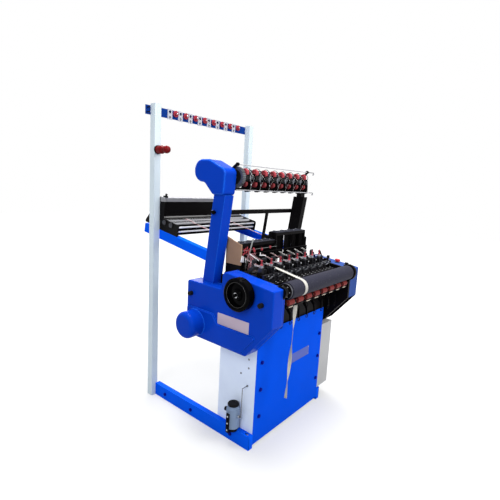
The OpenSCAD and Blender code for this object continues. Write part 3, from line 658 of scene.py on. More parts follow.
DULL_RED = Moulded("dull_red_plastic", (0.20, 0.022, 0.026), roughness=0.4)
WHITE_PLASTIC = Moulded("white_plastic", (0.78, 0.78, 0.80), roughness=0.4)
CHARCOAL = Rubber("charcoal_rubber", (0.020, 0.020, 0.032), lint_share=0.06)
RED_RUBBER = Rubber("brown_red_rubber", (0.16, 0.024, 0.022), roughness=0.5, lint_share=0.03)
PINK_YARN = Rubber("pink_yarn", (0.66, 0.30, 0.33), roughness=0.8, lint=(0.8, 0.6, 0.6))
WHITE_YARN = Rubber("white_yarn", (0.72, 0.70, 0.68), roughness=0.8, lint=(0.8, 0.8, 0.8))
CLOTH = Weave("woven_tape", (0.47, 0.45, 0.405))

LAMP_RED = Zoned("dark_red_lens", (0.16, 0.006, 0.008), (Zone(PITCH, y=(0.9075, 0.95)),), roughness=0.2)
# Left frame plate in the painted-shade copy of the royal blue, with a black patch at its front.
SIDE_PLATE = Zoned("frame_plate_paint", SHADED_BLUE, (Zone(PITCH, y=(-0.30, -0.115), z=(0.99, 1.10)),))
# Guide laminate, black right of 0.2 m. Below 1.11 m it is black, standing for a black panel and painted shade
# from the column.
GUIDES = Zoned("guide_laminate", (0.36, 0.225, 0.142),
               (Zone(PITCH, x=(0.2, 0.9)), Zone(PITCH, z=(0.9, 1.110))), roughness=0.5, peel=0.2)
# Right cover: a greyer copy of the blue enamel as painted light, and its sloped underside below 0.84 m
# painted black as shade.
SHADED_RIGHT_COVER = Zoned("right_cover_painted_shade", (0.044, 0.084, 0.28), (Zone(PITCH, z=(0.5, 0.84)),), mirror=0.0)
CREEL_PARTS = Zoned("creel_fittings", (0.36, 0.040, 0.058), (
    Zone(PITCH, x=(-0.2, 0.03)),
    *(Zone((0.52, 0.53, 0.60), x=(head_x(k) - 0.003, head_x(k) + 0.0395)) for k in range(HEAD_COUNT))))
NEEDLE_PARTS = Zoned("needle_and_pin", SILVER, (Zone((0.31, 0.042, 0.058), z=(1.1402, 1.30)),), roughness=0.3)
PUMP_PARTS = Zoned("pump_paint", (0.20, 0.27, 0.40), (
    Zone(PITCH, z=(0.2565, 0.40)),
    Zone(PITCH, z=(0.0, 0.1165)),
    Zone(PITCH, x=(-0.12, -0.0902))), peel=0.25)
REAR_PARTS = Zoned("rear_unit_paint", PITCH, (
    Zone((0.30, 0.30, 0.32), y=(0.858, 0.91), z=(1.452, 1.60)),
    Zone(TRAY_GREY, x=(0.596, 0.803), y=(0.88, 1.05))), roughness=0.45)
FEED_BEAM = Zoned("feed_beam_paint", PITCH, (
    Zone(ROD_STEEL, x=(0.0305, 0.8045), y=(0.20, 0.2575), z=(1.7105, 1.73)),
    Zone(ROD_STEEL, y=(0.20, 0.2535), z=(1.56, 1.5675))))
FEED_WHEELS = Hubbed("feed_wheels", (0.46, 0.060, 0.075), (0.22, 0.026, 0.030), PITCH, 0.030, FEED_SHAFT)

NODE_FINISH: dict[str, Finish] = {
    "base_beam_left": LIT_BLUE, "base_beam_right": BLUE, "front_panel": BLUE, "creel_bar": CREEL_BLUE,
    "left_frame_plate": SIDE_PLATE, "right_frame_plate": BLACK, "left_cover": HEAD_BLUE,
    "right_cover": SHADED_RIGHT_COVER, "left_column": HEAD_BLUE, "swan_neck": HEAD_BLUE,
    "rear_rails": LIT_BLUE, "panel_bolts": DARK_BLUE, "cabinet_body": PANEL_WHITE,
    "left_post": WHITE, "right_post": WHITE, "electrical_box": CREAM, "electrical_door": CREAM,
    "oil_pump": PUMP_PARTS, "drive_motor": GREY_BLUE, "handwheel": BLACK_GLOSS, "press_levers": BLACK,
    "right_column": BLACK, "tie_bar": BLACK, "feeder_beam": FEED_BEAM, "stop_motion_frame": REAR_PARTS,
    "oil_handle": BLACK_MATTE, "cover_knobs": BLACK_MATTE, "start_button": BLACK_MATTE,
    "stop_button": RED, "bed": BLACK, "oil_pipe": DULL_STEEL, "main_shaft": STEEL,
    "motor_pulley": STEEL, "take_up_shaft": DULL_STEEL, "feeder_shaft": GEAR_GREY,
    "latch_needle_bar": HEAD_STEEL, "head_blocks": HEAD_STEEL, "reed_batten": REED_METAL,
    "guide_roller_1": CHROME, "guide_roller_2": CHROME, "take_up_roller": CHARCOAL,
    "drive_belt": CHARCOAL, "press_rollers": RED_RUBBER, "signal_lamp": LAMP_RED,
    "feeder_wheels": FEED_WHEELS, "creel_tensioners": CREEL_PARTS, "harness_guides": GUIDES,
    "woven_tape": CLOTH,
    **{f"heald_{side}_{k}": BLACK for side in ("left", "right") for k in (1, 2)},
    **{f"weft_needle_{k}": NEEDLE_PARTS for k in range(1, HEAD_COUNT + 1)},
}


def dress_nodes() -> None:
    """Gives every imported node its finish."""
    for name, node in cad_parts.items():
        node.data.materials.clear()
        node.data.materials.append(NODE_FINISH[name].material())


class Slot(Enum):
    """Material slots of the record that added pieces take."""

    BLUE = "blue_paint"
    DARK_BLUE = "dark_blue_paint"
    BLACK = "black_paint"
    PLASTIC = "black_plastic"
    STEEL = "steel"
    CHROME = "roller_chrome"
    RED = "red_plastic"
    WHITE = "white_paint"
    CREAM = "cream_paint"
    HEALD = "heald_metal"
    TAPE = "tape"


@dataclass(frozen=True)
class Box:
    """Limits of a box from the place where it is set, and the radius of its edges."""

    x: Pair
    y: Pair
    z: Pair
    edge: float = 0.001


@dataclass(frozen=True)
class Bolt:
    """A domed bolt head, without its washer's rim."""

    radius: float
    height: float = 0.003


@dataclass(frozen=True)
class Strip:
    """A flat strip across the machine: its outline in X and Z, its front face and its thickness."""

    outline: Profile
    y: float
    thickness: float = 0.004
    edge: float = 0.0008


def turn_to(base: Point, axis: Point) -> Matrix:
    """Matrix that lays local Z along an axis at a base point."""
    quat = Vector(axis).to_track_quat("Z", "Y")
    return Matrix.Translation(base) @ quat.to_matrix().to_4x4()


def coil(start: Point, end: Point, radius: float, turns: int, per_turn: int = 10) -> list[Vector]:
    """Lays a helix between two places.

    Args:
        start: First end of the axis.
        end: Other end of the axis.
        radius: Radius of the helix.
        turns: Number of turns.
        per_turn: Number of points on a turn.

    Returns:
        The points of the helix in order.
    """
    span = Vector(end) - Vector(start)
    place = turn_to(start, span)
    count = turns * per_turn
    return [place @ Vector((*on_circle(radius, math.tau * k / per_turn), span.length * k / count))
            for k in range(count + 1)]


def curl(centre: Point, radius: float, start: float, sweep: float, steps: int = 14) -> list[Vector]:
    """Lays an arc in the plane of X and Z.

    Args:
        centre: Middle of the arc.
        radius: Radius of the arc.
        start: Angle of the first point.
        sweep: Angle from the first point to the last.
        steps: Number of chords.

    Returns:
        The points of the arc in order.
    """
    turns = [on_circle(radius, start + sweep * k / steps) for k in range(steps + 1)]
    return [Vector(centre) + Vector((x, 0.0, z)) for x, z in turns]


class Piece:
    """One added piece, grown from simple forms in machine coordinates."""

    total = 0
    washer_ratio = 1.3
    washer_height = 0.22
    dome_foot = 0.25
    dome_steps = 6
    bolt_sides = 20
    wire_sides = 10
    ring_sides = 24

    def __init__(self, name: str, finish: Finish, slot: Slot, body: str = "frame") -> None:
        """Starts an empty piece that will ride on a body."""
        self.name, self.finish, self.slot, self.body = name, finish, slot, body
        self.bm = bmesh.new()

    def _absorb(self, part: bmesh.types.BMesh, matrix: Matrix = Matrix.Identity(4)) -> None:
        """Moves a form into place and takes its faces over.

        Args:
            part: The form, which is freed.
            matrix: Its place.
        """
        bmesh.ops.recalc_face_normals(part, faces=part.faces)
        part.transform(matrix)
        mesh = bpy.data.meshes.new("form")
        part.to_mesh(mesh)
        part.free()
        self.bm.from_mesh(mesh)
        bpy.data.meshes.remove(mesh)

    def _soften(self, part: bmesh.types.BMesh, edge: float) -> None:
        """Rounds every edge of a form."""
        bmesh.ops.bevel(part, geom=part.edges[:], offset=edge, affect="EDGES", segments=2, profile=0.5,
                        material=-1)

    def block(self, box: Box, at: Point = (0.0, 0.0, 0.0)) -> None:
        """Adds a box with rounded edges.

        Args:
            box: Limits of the box.
            at: Place that the limits are counted from.
        """
        limits = list(zip((box.x, box.y, box.z), at))
        low = Vector([side[0] + start for side, start in limits])
        high = Vector([side[1] + start for side, start in limits])
        part = bmesh.new()
        bmesh.ops.create_cube(part, size=1.0)
        part.transform(Matrix.Translation((low + high) / 2) @ Matrix.Diagonal((*(high - low), 1.0)))
        self._soften(part, box.edge)
        self._absorb(part)

    def rod(self, start: Point, end: Point, radius: float, far: float | None = None, sides: int = 20) -> None:
        """Adds a round or tapered bar.

        Args:
            start: Middle of the first end.
            end: Middle of the other end.
            radius: Radius at the first end.
            far: Radius at the other end, if it differs.
            sides: Number of sides.
        """
        span = Vector(end) - Vector(start)
        part = bmesh.new()
        bmesh.ops.create_cone(part, cap_ends=True, segments=sides, radius1=radius,
                              radius2=radius if far is None else far, depth=span.length)
        part.transform(Matrix.Translation((0, 0, span.length / 2)))
        self._absorb(part, turn_to(start, span))

    def turned(self, base: Point, axis: Point, profile: Sequence[Pair], steps: int = 32) -> None:
        """Adds a turned form.

        Args:
            base: Place of the profile's origin.
            axis: Direction of the turning axis.
            profile: Radius and height along the axis, point by point.
            steps: Number of sides.
        """
        part = bmesh.new()
        ring = [part.verts.new((r, 0.0, h)) for r, h in profile]
        edges = [part.edges.new(pair) for pair in zip(ring, ring[1:])]
        bmesh.ops.spin(part, geom=ring + edges, cent=(0, 0, 0), axis=UP, angle=math.tau, steps=steps,
                       use_merge=True)
        bmesh.ops.remove_doubles(part, verts=part.verts, dist=1e-6)
        self._absorb(part, turn_to(base, axis))

    def bolt(self, base: Point, axis: Point, bolt: Bolt) -> None:
        """Adds a domed bolt head on a washer.

        Args:
            base: Middle of the washer's seat.
            axis: Direction of the bolt, out of the seat.
            bolt: Size of the head.
        """
        rim = bolt.radius * self.washer_ratio
        foot = bolt.height * self.dome_foot
        angles = [math.pi / 2 * k / self.dome_steps for k in range(self.dome_steps + 1)]
        dome = [(bolt.radius * math.cos(a), foot + (bolt.height - foot) * math.sin(a)) for a in angles]
        washer = [(rim, 0.0), (rim, bolt.height * self.washer_height)]
        self.turned(base, axis, washer + dome, self.bolt_sides)

    def ring(self, centre: Point, axis: Point, radius: float, wire: float) -> None:
        """Adds a round ring.

        Args:
            centre: Middle of the ring.
            axis: Direction square to the ring.
            radius: Radius to the middle of the wire.
            wire: Radius of the wire.
        """
        turns = [on_circle(wire, math.tau * k / self.wire_sides) for k in range(self.wire_sides + 1)]
        self.turned(centre, axis, [(radius + across, along) for across, along in turns], self.ring_sides)

    def plate(self, outline: Sequence[Point], depth: Point, edge: float = 0.0) -> None:
        """Adds a flat plate.

        Args:
            outline: Corners of one face.
            depth: Way from that face to the other.
            edge: Radius of the edges; zero leaves them sharp.
        """
        part = bmesh.new()
        face = part.faces.new([part.verts.new(p) for p in outline])
        grown = bmesh.ops.extrude_face_region(part, geom=[face])["geom"]
        bmesh.ops.translate(part, verts=[v for v in grown if isinstance(v, bmesh.types.BMVert)], vec=depth)
        if edge:
            self._soften(part, edge)
        self._absorb(part)

    def strip(self, strip: Strip) -> None:
        """Adds a flat strip across the machine."""
        self.plate([(x, strip.y, z) for x, z in strip.outline], (0, strip.thickness, 0), strip.edge)

    def sweep(self, path: Sequence[Point], radius: float, sides: int = 8) -> None:
        """Adds a wire along a path.

        Args:
            path: Points of the wire's middle line.
            radius: Radius of the wire.
            sides: Number of sides.
        """
        points = [Vector(p) for p in path]
        part = bmesh.new()
        rings = []
        for k, point in enumerate(points):
            place = turn_to(point, points[min(k + 1, len(points) - 1)] - points[max(k - 1, 0)])
            rings.append([part.verts.new(place @ Vector((*on_circle(radius, math.tau * n / sides), 0)))
                          for n in range(sides)])
        for a, b in zip(rings, rings[1:]):
            shift = min(range(sides), key=lambda n: (a[0].co - b[n].co).length)
            for n in range(sides):
                part.faces.new((a[n], a[(n + 1) % sides], b[(n + 1 + shift) % sides], b[(n + shift) % sides]))
        part.faces.new(rings[0])
        part.faces.new(rings[-1])
        self._absorb(part)

    def done(self) -> None:
        """Turns the forms into an object that rides on its body."""
        bmesh.ops.translate(self.bm, verts=self.bm.verts, vec=ORIGIN)
        mesh = bpy.data.meshes.new(self.name)
        self.bm.to_mesh(mesh)
        self.bm.free()
        mesh.polygons.foreach_set("use_smooth", [True] * len(mesh.polygons))
        mesh.set_sharp_from_angle(angle=SMOOTH_ANGLE)
        mesh.materials.append(self.finish.material())
        piece = bpy.data.objects.new(self.name, mesh)
        bpy.context.scene.collection.objects.link(piece)
        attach(piece, self.body)
        Piece.total += len(mesh.polygons)
        LOG.info("%s: %d faces on %s", self.name, len(mesh.polygons), self.body)


@dataclass(frozen=True)
class Plates:
    """Bare name plates with rivets on the left cover and the front panel."""

    cover_x: float = -0.105
    cover_y: Pair = (-0.008, 0.236)
    cover_z: Pair = (0.767, 0.837)
    panel_x: Pair = (0.345, 0.600)
    panel_z: Pair = (0.428, 0.494)
    thickness: float = 0.0015
    edge: float = 0.0004
    rivet: Bolt = Bolt(0.0025, 0.002)
    rivet_inset: float = 0.008

    def corners(self, across: Pair, up: Pair) -> list[Pair]:
        """Places of the rivets inside a plate's corners."""
        d = self.rivet_inset
        return [(a, z) for a in (across[0] + d, across[1] - d) for z in (up[0] + d, up[1] - d)]

    def build(self) -> None:
        """Makes the plates and their rivets."""
        outer = self.cover_x - self.thickness
        plates = Piece("name_plates", PLATE_PAINT, Slot.WHITE)
        plates.block(Box((outer, self.cover_x), self.cover_y, self.cover_z, self.edge))
        plates.done()
        panel = Piece("panel_plate", PLATE_BLUE, Slot.BLUE)
        panel.block(Box(self.panel_x, (-self.thickness, 0.0), self.panel_z, self.edge))
        panel.done()
        rivets = Piece("plate_rivets", STEEL, Slot.STEEL)
        for y, z in self.corners(self.cover_y, self.cover_z):
            rivets.bolt((outer, y, z), LEFT, self.rivet)
        for x, z in self.corners(self.panel_x, self.panel_z):
            rivets.bolt((x, -self.thickness, z), FRONT, self.rivet)
        rivets.done()


@dataclass(frozen=True)
class PanelBolts:
    """Domes on the bolts of the front panel and the base channels, channel end caps and side screws."""

    panel_x: Pair = (0.048, 0.735)
    panel_y: float = -0.007
    panel_z: tuple[float, ...] = (0.195, 0.372, 0.548)
    panel_dome: Bolt = Bolt(0.009, 0.006)
    beam_x: Pair = (-0.045, 0.817)
    beam_y: tuple[float, ...] = (0.150, 0.520, 0.800)
    beam_z: float = 0.045
    beam_dome: Bolt = Bolt(0.009, 0.005)
    cap_x: Pair = (-0.0375, 0.7725)
    cap: Box = Box((0.0, 0.0370), (-0.002, 0.001), (0.0052, 0.0848), 0.0006)
    side_places: Profile = ((0.061, 0.561), (0.059, 0.505), (0.118, 0.453))
    side_screw: Bolt = Bolt(0.005, 0.004)

    def build(self) -> None:
        """Makes the domes, caps and screws."""
        domes = Piece("bolt_domes", DARK_BLUE, Slot.DARK_BLUE)
        for x in self.panel_x:
            for z in self.panel_z:
                domes.bolt((x, self.panel_y, z), FRONT, self.panel_dome)
        for x, outward in zip(self.beam_x, (LEFT, RIGHT)):
            for y in self.beam_y:
                domes.bolt((x, y, self.beam_z), outward, self.beam_dome)
        domes.done()
        ends = Piece("beam_end_caps", LIT_BLUE, Slot.BLUE)
        for x in self.cap_x:
            ends.block(self.cap, (x, 0.0, 0.0))
        ends.done()
        screws = Piece("side_screws", DULL_STEEL, Slot.STEEL)
        for y, z in self.side_places:
            screws.bolt((0.0, y, z), LEFT, self.side_screw)
        screws.done()


@dataclass(frozen=True)
class WheelFittings:
    """Hub cap, nut and rim bead of the handwheel, which turn with it."""

    centre: Pair = (0.045, 0.998)
    body: str = "main_drive"
    cap_x: float = -0.165
    cap: Profile = ((0.030, 0), (0.030, 0.003), (0.024, 0.007), (0.015, 0.008), (0.015, 0.004))
    nut_x: Pair = (-0.167, -0.181)
    nut_radii: Pair = (0.012, 0.011)
    tip_x: float = -0.180
    tip: Profile = ((0.007, 0), (0.007, 0.003), (0.0055, 0.005), (0, 0.005))
    bead_x: float = -0.1665
    bead_radius: float = 0.0712
    bead_wire: float = 0.0016

    def build(self) -> None:
        """Makes the fittings."""
        cap = Piece("wheel_hub_cap", BLACK_GLOSS, Slot.BLACK, self.body)
        cap.turned((self.cap_x, *self.centre), LEFT, self.cap)
        cap.done()
        nut = Piece("wheel_nut", BLACK_GLOSS, Slot.BLACK, self.body)
        seat, face = self.nut_x
        nut.rod((seat, *self.centre), (face, *self.centre), *self.nut_radii, sides=6)
        nut.turned((self.tip_x, *self.centre), LEFT, self.tip)
        nut.done()
        bead = Piece("wheel_rim_bead", RIM_GLOSS, Slot.BLACK, self.body)
        bead.ring((self.bead_x, *self.centre), LEFT, self.bead_radius, self.bead_wire)
        bead.done()


@dataclass(frozen=True)
class RollerEnds:
    """Bearing ring, end cap and cap screws at the open end of the take-up roller."""

    bearing: Profile = (
        (0.0165, 0), (0.0165, 0.008), (0.022, 0.008), (0.024, 0.005), (0.031, 0.004), (0.031, 0))
    cap_x: float = 0.0215
    cap: Profile = ((0.043, 0), (0.043, 0.002), (0.036, 0.004), (0.026, 0.004), (0.026, 0))
    screw_x: float = 0.0180
    screw: Bolt = Bolt(0.0028)
    screw_circle: float = 0.031
    screw_count: int = 6

    def build(self) -> None:
        """Makes the rings and the screws."""
        rings = Piece("roller_bearings", DULL_STEEL, Slot.STEEL)
        rings.turned((0.0, *TAKE_UP), RIGHT, self.bearing)
        rings.done()
        caps = Piece("roller_end_caps", BLACK, Slot.BLACK, "take_up")
        caps.turned((self.cap_x, *TAKE_UP), LEFT, self.cap)
        caps.done()
        marks = Piece("roller_end_screws", STEEL, Slot.STEEL, "take_up")
        for k in range(self.screw_count):
            dy, dz = on_circle(self.screw_circle, math.tau * k / self.screw_count)
            marks.bolt((self.screw_x, TAKE_UP[0] + dy, TAKE_UP[1] + dz), LEFT, self.screw)
        marks.done()


@dataclass(frozen=True)
class PressGear:
    """Tags, loops, screws and collars on the press levers."""

    body: str = "press_bar"
    tag: Box = Box((-0.020, 0.020), (-0.0105, -0.008), (-0.0285, -0.0225), 0.0006)
    bridge: Box = Box((-0.0425, 0.0425), (-0.008, 0.002), (-0.029, -0.0205))
    loop_x: float = 0.032
    loop_centre: Pair = (-0.086, 0.786)
    loop_radius: float = 0.011
    loop_wire: float = 0.0022
    hook: Profile = ((-0.062, 0.868), (-0.078, 0.872), (-0.088, 0.862), (-0.086, 0.848))
    hook_wire: float = 0.0025
    pivot: Pair = (-0.030, 0.905)
    collar_x: Pair = (0.018, 0.026)
    collar_radius: float = 0.013
    lever_half: float = 0.005
    axle_screw: Bolt = Bolt(0.0045)
    lever_screw: Bolt = Bolt(0.003)

    def build(self) -> None:
        """Makes the gear of every head."""
        tags = Piece("press_tags", TAG_CREAM, Slot.CREAM, self.body)
        loops = Piece("press_loops", BLACK, Slot.BLACK, self.body)
        screws = Piece("press_screws", STEEL, Slot.STEEL, self.body)
        collars = Piece("press_collars", BLACK_MATTE, Slot.PLASTIC, self.body)
        for k in range(HEAD_COUNT):
            x = head_x(k)
            if k != Tape.head:
                tags.block(self.tag, (x, *PRESS_ROLL))
            loops.block(self.bridge, (x, *PRESS_ROLL))
            loops.ring((x + self.loop_x, *self.loop_centre), BACK, self.loop_radius, self.loop_wire)
            loops.sweep([(x + self.loop_x, *place) for place in self.hook], self.hook_wire)
            inner, outer = self.collar_x
            collars.rod((x + inner, *self.pivot), (x + outer, *self.pivot), self.collar_radius)
        middle = [(a + b) / 2 for a, b in zip(PRESS_ROLL, self.pivot)]
        for k in range(HEAD_COUNT + 1):
            x = head_x(k) - HEAD_PITCH / 2
            for way, outward in ((-1, LEFT), (1, RIGHT)):
                screws.bolt((x + self.lever_half * way, *PRESS_ROLL), outward, self.axle_screw)
                screws.bolt((x + self.lever_half * way, *middle), outward, self.lever_screw)
        for piece in (tags, loops, screws, collars):
            piece.done()


@dataclass(frozen=True)
class WeftPins:
    """Collar, tip and yarn eye that swing with each weft needle."""

    spindle: Pair = (-0.034, FELL_Y - 0.008)
    collar_z: float = 1.1402
    collar: Profile = ((0.0046, 0), (0.0085, 0), (0.0085, 0.003), (0.0062, 0.006), (0.0046, 0.007))
    tip_z: float = 1.169
    tip: Profile = ((0.0044, 0), (0.0050, 0.001), (0.0048, 0.002), (0.003, 0.0035), (0, 0.004))
    eye_reach: float = 0.040
    eye_angle: float = math.radians(150)
    eye_z: float = 1.1415
    eye_radius: float = 0.0035
    eye_wire: float = 0.0010

    def build(self) -> None:
        """Makes the pins of every head."""
        for k in range(HEAD_COUNT):
            x, y = head_x(k) + self.spindle[0], self.spindle[1]
            body = f"weft_arm_{k + 1}"
            pin = Piece(f"pin_collar_{k + 1}", PINK_RED, Slot.RED, body)
            pin.turned((x, y, self.collar_z), UP, self.collar)
            pin.turned((x, y, self.tip_z), UP, self.tip)
            pin.done()
            eye = Piece(f"needle_eye_{k + 1}", STEEL, Slot.STEEL, body)
            dx, dy = on_circle(self.eye_reach, self.eye_angle)
            eye.ring((x + dx, y + dy, self.eye_z), UP, self.eye_radius, self.eye_wire)
            eye.done()


@dataclass(frozen=True)
class HeadFittings:
    """Bearing caps, arms and springs of the heads, which stand still on the deck."""

    bearing: Box = Box((0.019, 0.041), (-0.027, 0.016), (0.0, 0.024), 0.002)
    bearing_x: float = 0.030
    bearing_y: Pair = (-0.018, 0.008)
    bearing_bolt: Bolt = Bolt(0.0042, 0.004)
    block_x: Pair = (-0.043, 0.013)
    block_yz: Pair = (0.011, 0.012)
    block_bolt: Bolt = Bolt(0.0035, 0.004)
    arm_x: float = 0.0335
    arm: Profile = ((-0.027, 0.024), (-0.016, 0.024), (0.030, 0.108), (0.020, 0.112))
    arm_thickness: float = 0.005
    arm_edge: float = 0.0008
    lug: Box = Box((0.020, 0.040), (0.018, 0.032), (0.106, 0.114))
    spring_xy: Pair = (0.024, 0.025)
    spring_radius: float = 0.0045
    spring_turns: int = 14
    spring_wire: float = 0.0008

    def build(self) -> None:
        """Makes the fittings of every head."""
        caps = Piece("head_bearings", HEAD_STEEL, Slot.STEEL)
        arms = Piece("head_arms", BLACK, Slot.BLACK)
        springs = Piece("head_springs", STEEL, Slot.STEEL)
        for k in range(HEAD_COUNT):
            x = head_x(k)
            seat = (x, FELL_Y, DECK_Z)
            caps.block(self.bearing, seat)
            cap_top = DECK_Z + self.bearing.z[1]
            for dy in self.bearing_y:
                caps.bolt((x + self.bearing_x, FELL_Y + dy, cap_top), UP, self.bearing_bolt)
            for dx in self.block_x:
                caps.bolt((x + dx, FELL_Y + self.block_yz[0], DECK_Z + self.block_yz[1]), UP, self.block_bolt)
            arms.plate([(x + self.arm_x, FELL_Y + dy, DECK_Z + dz) for dy, dz in self.arm],
                       (self.arm_thickness, 0, 0), self.arm_edge)
            arms.block(self.lug, seat)
            foot = (x + self.spring_xy[0], FELL_Y + self.spring_xy[1], DECK_Z)
            top = (*foot[:2], DECK_Z + self.lug.z[0])
            springs.sweep(coil(foot, top, self.spring_radius, self.spring_turns), self.spring_wire, sides=6)
        for piece in (caps, arms, springs):
            piece.done()


@dataclass(frozen=True)
class Deck:
    """Black front plate, cover strips and screw rows of the deck."""

    front: Box = Box((0.012, 0.788), (-0.068, -0.060), (0.978, 1.036), 0.0015)
    front_strip: Box = Box((0.012, 0.788), (-0.059, -0.016), (DECK_Z, STRIP_Z), 0.0015)
    rear_strip: Box = Box((0.024, 0.776), (FELL_Y + 0.024, FELL_Y + 0.052), (DECK_Z, DECK_Z + 0.010), 0.0015)
    screw_x: float = -0.030
    front_z: float = 1.018
    front_screw: Bolt = Bolt(0.0035)
    rear_y: float = FELL_Y + 0.038
    rear_screw: Bolt = Bolt(0.0030)
    strip_places: Profile = ((0.0, -0.050), (0.012, -0.026))
    strip_screw: Bolt = Bolt(0.0026)

    def build(self) -> None:
        """Makes the plates and two sets of screws for each head."""
        plate = Piece("deck_front_plate", BLACK, Slot.BLACK)
        for box in (self.front, self.front_strip, self.rear_strip):
            plate.block(box)
        plate.done()
        screws = Piece("deck_screws", STEEL, Slot.STEEL)
        for k in range(2 * HEAD_COUNT):
            x = head_x(k / 2) + self.screw_x
            screws.bolt((x, self.front.y[0], self.front_z), FRONT, self.front_screw)
            screws.bolt((x, self.rear_y, self.rear_strip.z[1]), UP, self.rear_screw)
            for dx, y in self.strip_places:
                screws.bolt((x + dx, y, STRIP_Z), UP, self.strip_screw)
        screws.done()


@dataclass(frozen=True)
class LatchClamps:
    """Clamps and screws that move with the latch needles."""

    body: str = "latch_bar"
    x: float = 0.026
    bar_y: float = FELL_Y - 0.057
    clamp: Box = Box((-0.008, 0.008), (-0.004, 0.013), (1.112, 1.131))
    clamp_z: float = 1.121
    bar_x: Pair = (-0.050, 0.0)
    bar_z: float = 1.084
    screw: Bolt = Bolt(0.0035)

    def build(self) -> None:
        """Makes the clamps of every head."""
        clamps = Piece("latch_clamps", BLACK_MATTE, Slot.PLASTIC, self.body)
        screws = Piece("latch_screws", STEEL, Slot.STEEL, self.body)
        for k in range(HEAD_COUNT):
            x = head_x(k) + self.x
            clamps.block(self.clamp, (x, self.bar_y, 0.0))
            screws.bolt((x, self.bar_y + self.clamp.y[0], self.clamp_z), FRONT, self.screw)
            for dx in self.bar_x:
                screws.bolt((x + dx, self.bar_y, self.bar_z), FRONT, self.screw)
        clamps.done()
        screws.done()


@dataclass(frozen=True)
class WeftYarns:
    """Thin guide bar before the healds, the yarns through the reeds and the tangle on the left."""

    bar_x: Pair = (0.052, 0.768)
    bar_radius: float = 0.003
    stands_x: tuple[float, ...] = (0.056, 0.396, 0.764)
    stand_radius: float = 0.004
    places: tuple[int, ...] = (-3, -1, 1, 3)
    heald_end: Pair = (0.207, 1.158)
    reed_eye: Pair = (0.121, 1.134)
    fell_end: Pair = (FELL_Y + 0.012, 1.1145)
    heald_pitch: float = 0.0034
    fell_pitch: float = 0.0026
    yarn: float = 0.0005
    pink_heads: int = 4
    loose_count: int = 9
    loose_yarn: float = 0.0011
    loose_x: Point = (0.070, 0.088, 0.080)
    loose_pitch: Point = (0.011, 0.007, 0.012)
    loose_y: Point = (-0.004, -0.010, -0.002)
    loose_z: Point = (1.181, 1.118, 1.042)
    loose_order: tuple[int, int, int] = (1, 4, 2)

    def loose(self, n: int) -> list[Point]:
        """Lays out one loose yarn, which crosses the others.

        Args:
            n: Place of the yarn in the bundle, from 0.

        Returns:
            Its points from the bar down to the deck.
        """
        steps = [n * k % self.loose_count for k in self.loose_order]
        rows = zip(steps, self.loose_x, self.loose_pitch, self.loose_y, self.loose_z)
        return [(x + pitch * step, GUIDE_BAR[0] + dy, z) for step, x, pitch, dy, z in rows]

    def build(self) -> None:
        """Makes the bar and the yarns."""
        bar = Piece("yarn_guide_bar", BLACK, Slot.BLACK)
        bar.rod((self.bar_x[0], *GUIDE_BAR), (self.bar_x[1], *GUIDE_BAR), self.bar_radius)
        for x in self.stands_x:
            bar.rod((x, GUIDE_BAR[0], DECK_Z), (x, *GUIDE_BAR), self.stand_radius)
        bar.done()
        pink = Piece("weft_yarns_pink", PINK_YARN, Slot.TAPE)
        pale = Piece("weft_yarns_pale", WHITE_YARN, Slot.TAPE)
        for k in range(HEAD_COUNT):
            x = head_x(k)
            for n in self.places:
                wide, narrow = x + self.heald_pitch * n, x + self.fell_pitch * n
                yarn = pink if (k + n // 2) % 2 and k < self.pink_heads else pale
                path = [(wide, *self.heald_end), (wide, *self.reed_eye), (narrow, *self.fell_end)]
                yarn.sweep(path, self.yarn, sides=5)
        for n in range(self.loose_count):
            pink.sweep(self.loose(n), self.loose_yarn, sides=5)
        pink.done()
        pale.done()


@dataclass(frozen=True)
class TapeGuides:
    """Bent wires and small clips on the deck's front strip, under the path of each tape."""

    wire: tuple[Point, ...] = (
        (-0.034, -0.022, 0.0), (-0.030, -0.023, 0.026), (-0.010, -0.034, 0.040),
        (0.014, -0.030, 0.038), (0.026, -0.022, 0.022), (0.028, -0.022, 0.0))
    wire_radius: float = 0.0011
    clip: Box = Box((-0.004, 0.004), (-0.026, -0.018), (0.0, 0.006))

    def build(self) -> None:
        """Makes the guides of every head, with a clip at each end of the wire."""
        wires = Piece("tape_guides", DULL_STEEL, Slot.STEEL)
        clips = Piece("tape_guide_clips", BLACK_MATTE, Slot.PLASTIC)
        for k in range(HEAD_COUNT):
            x = head_x(k)
            wires.sweep([(x + dx, y, STRIP_Z + dz) for dx, y, dz in self.wire], self.wire_radius)
            for end in (self.wire[0], self.wire[-1]):
                clips.block(self.clip, (x + end[0], 0.0, STRIP_Z))
        wires.done()
        clips.done()


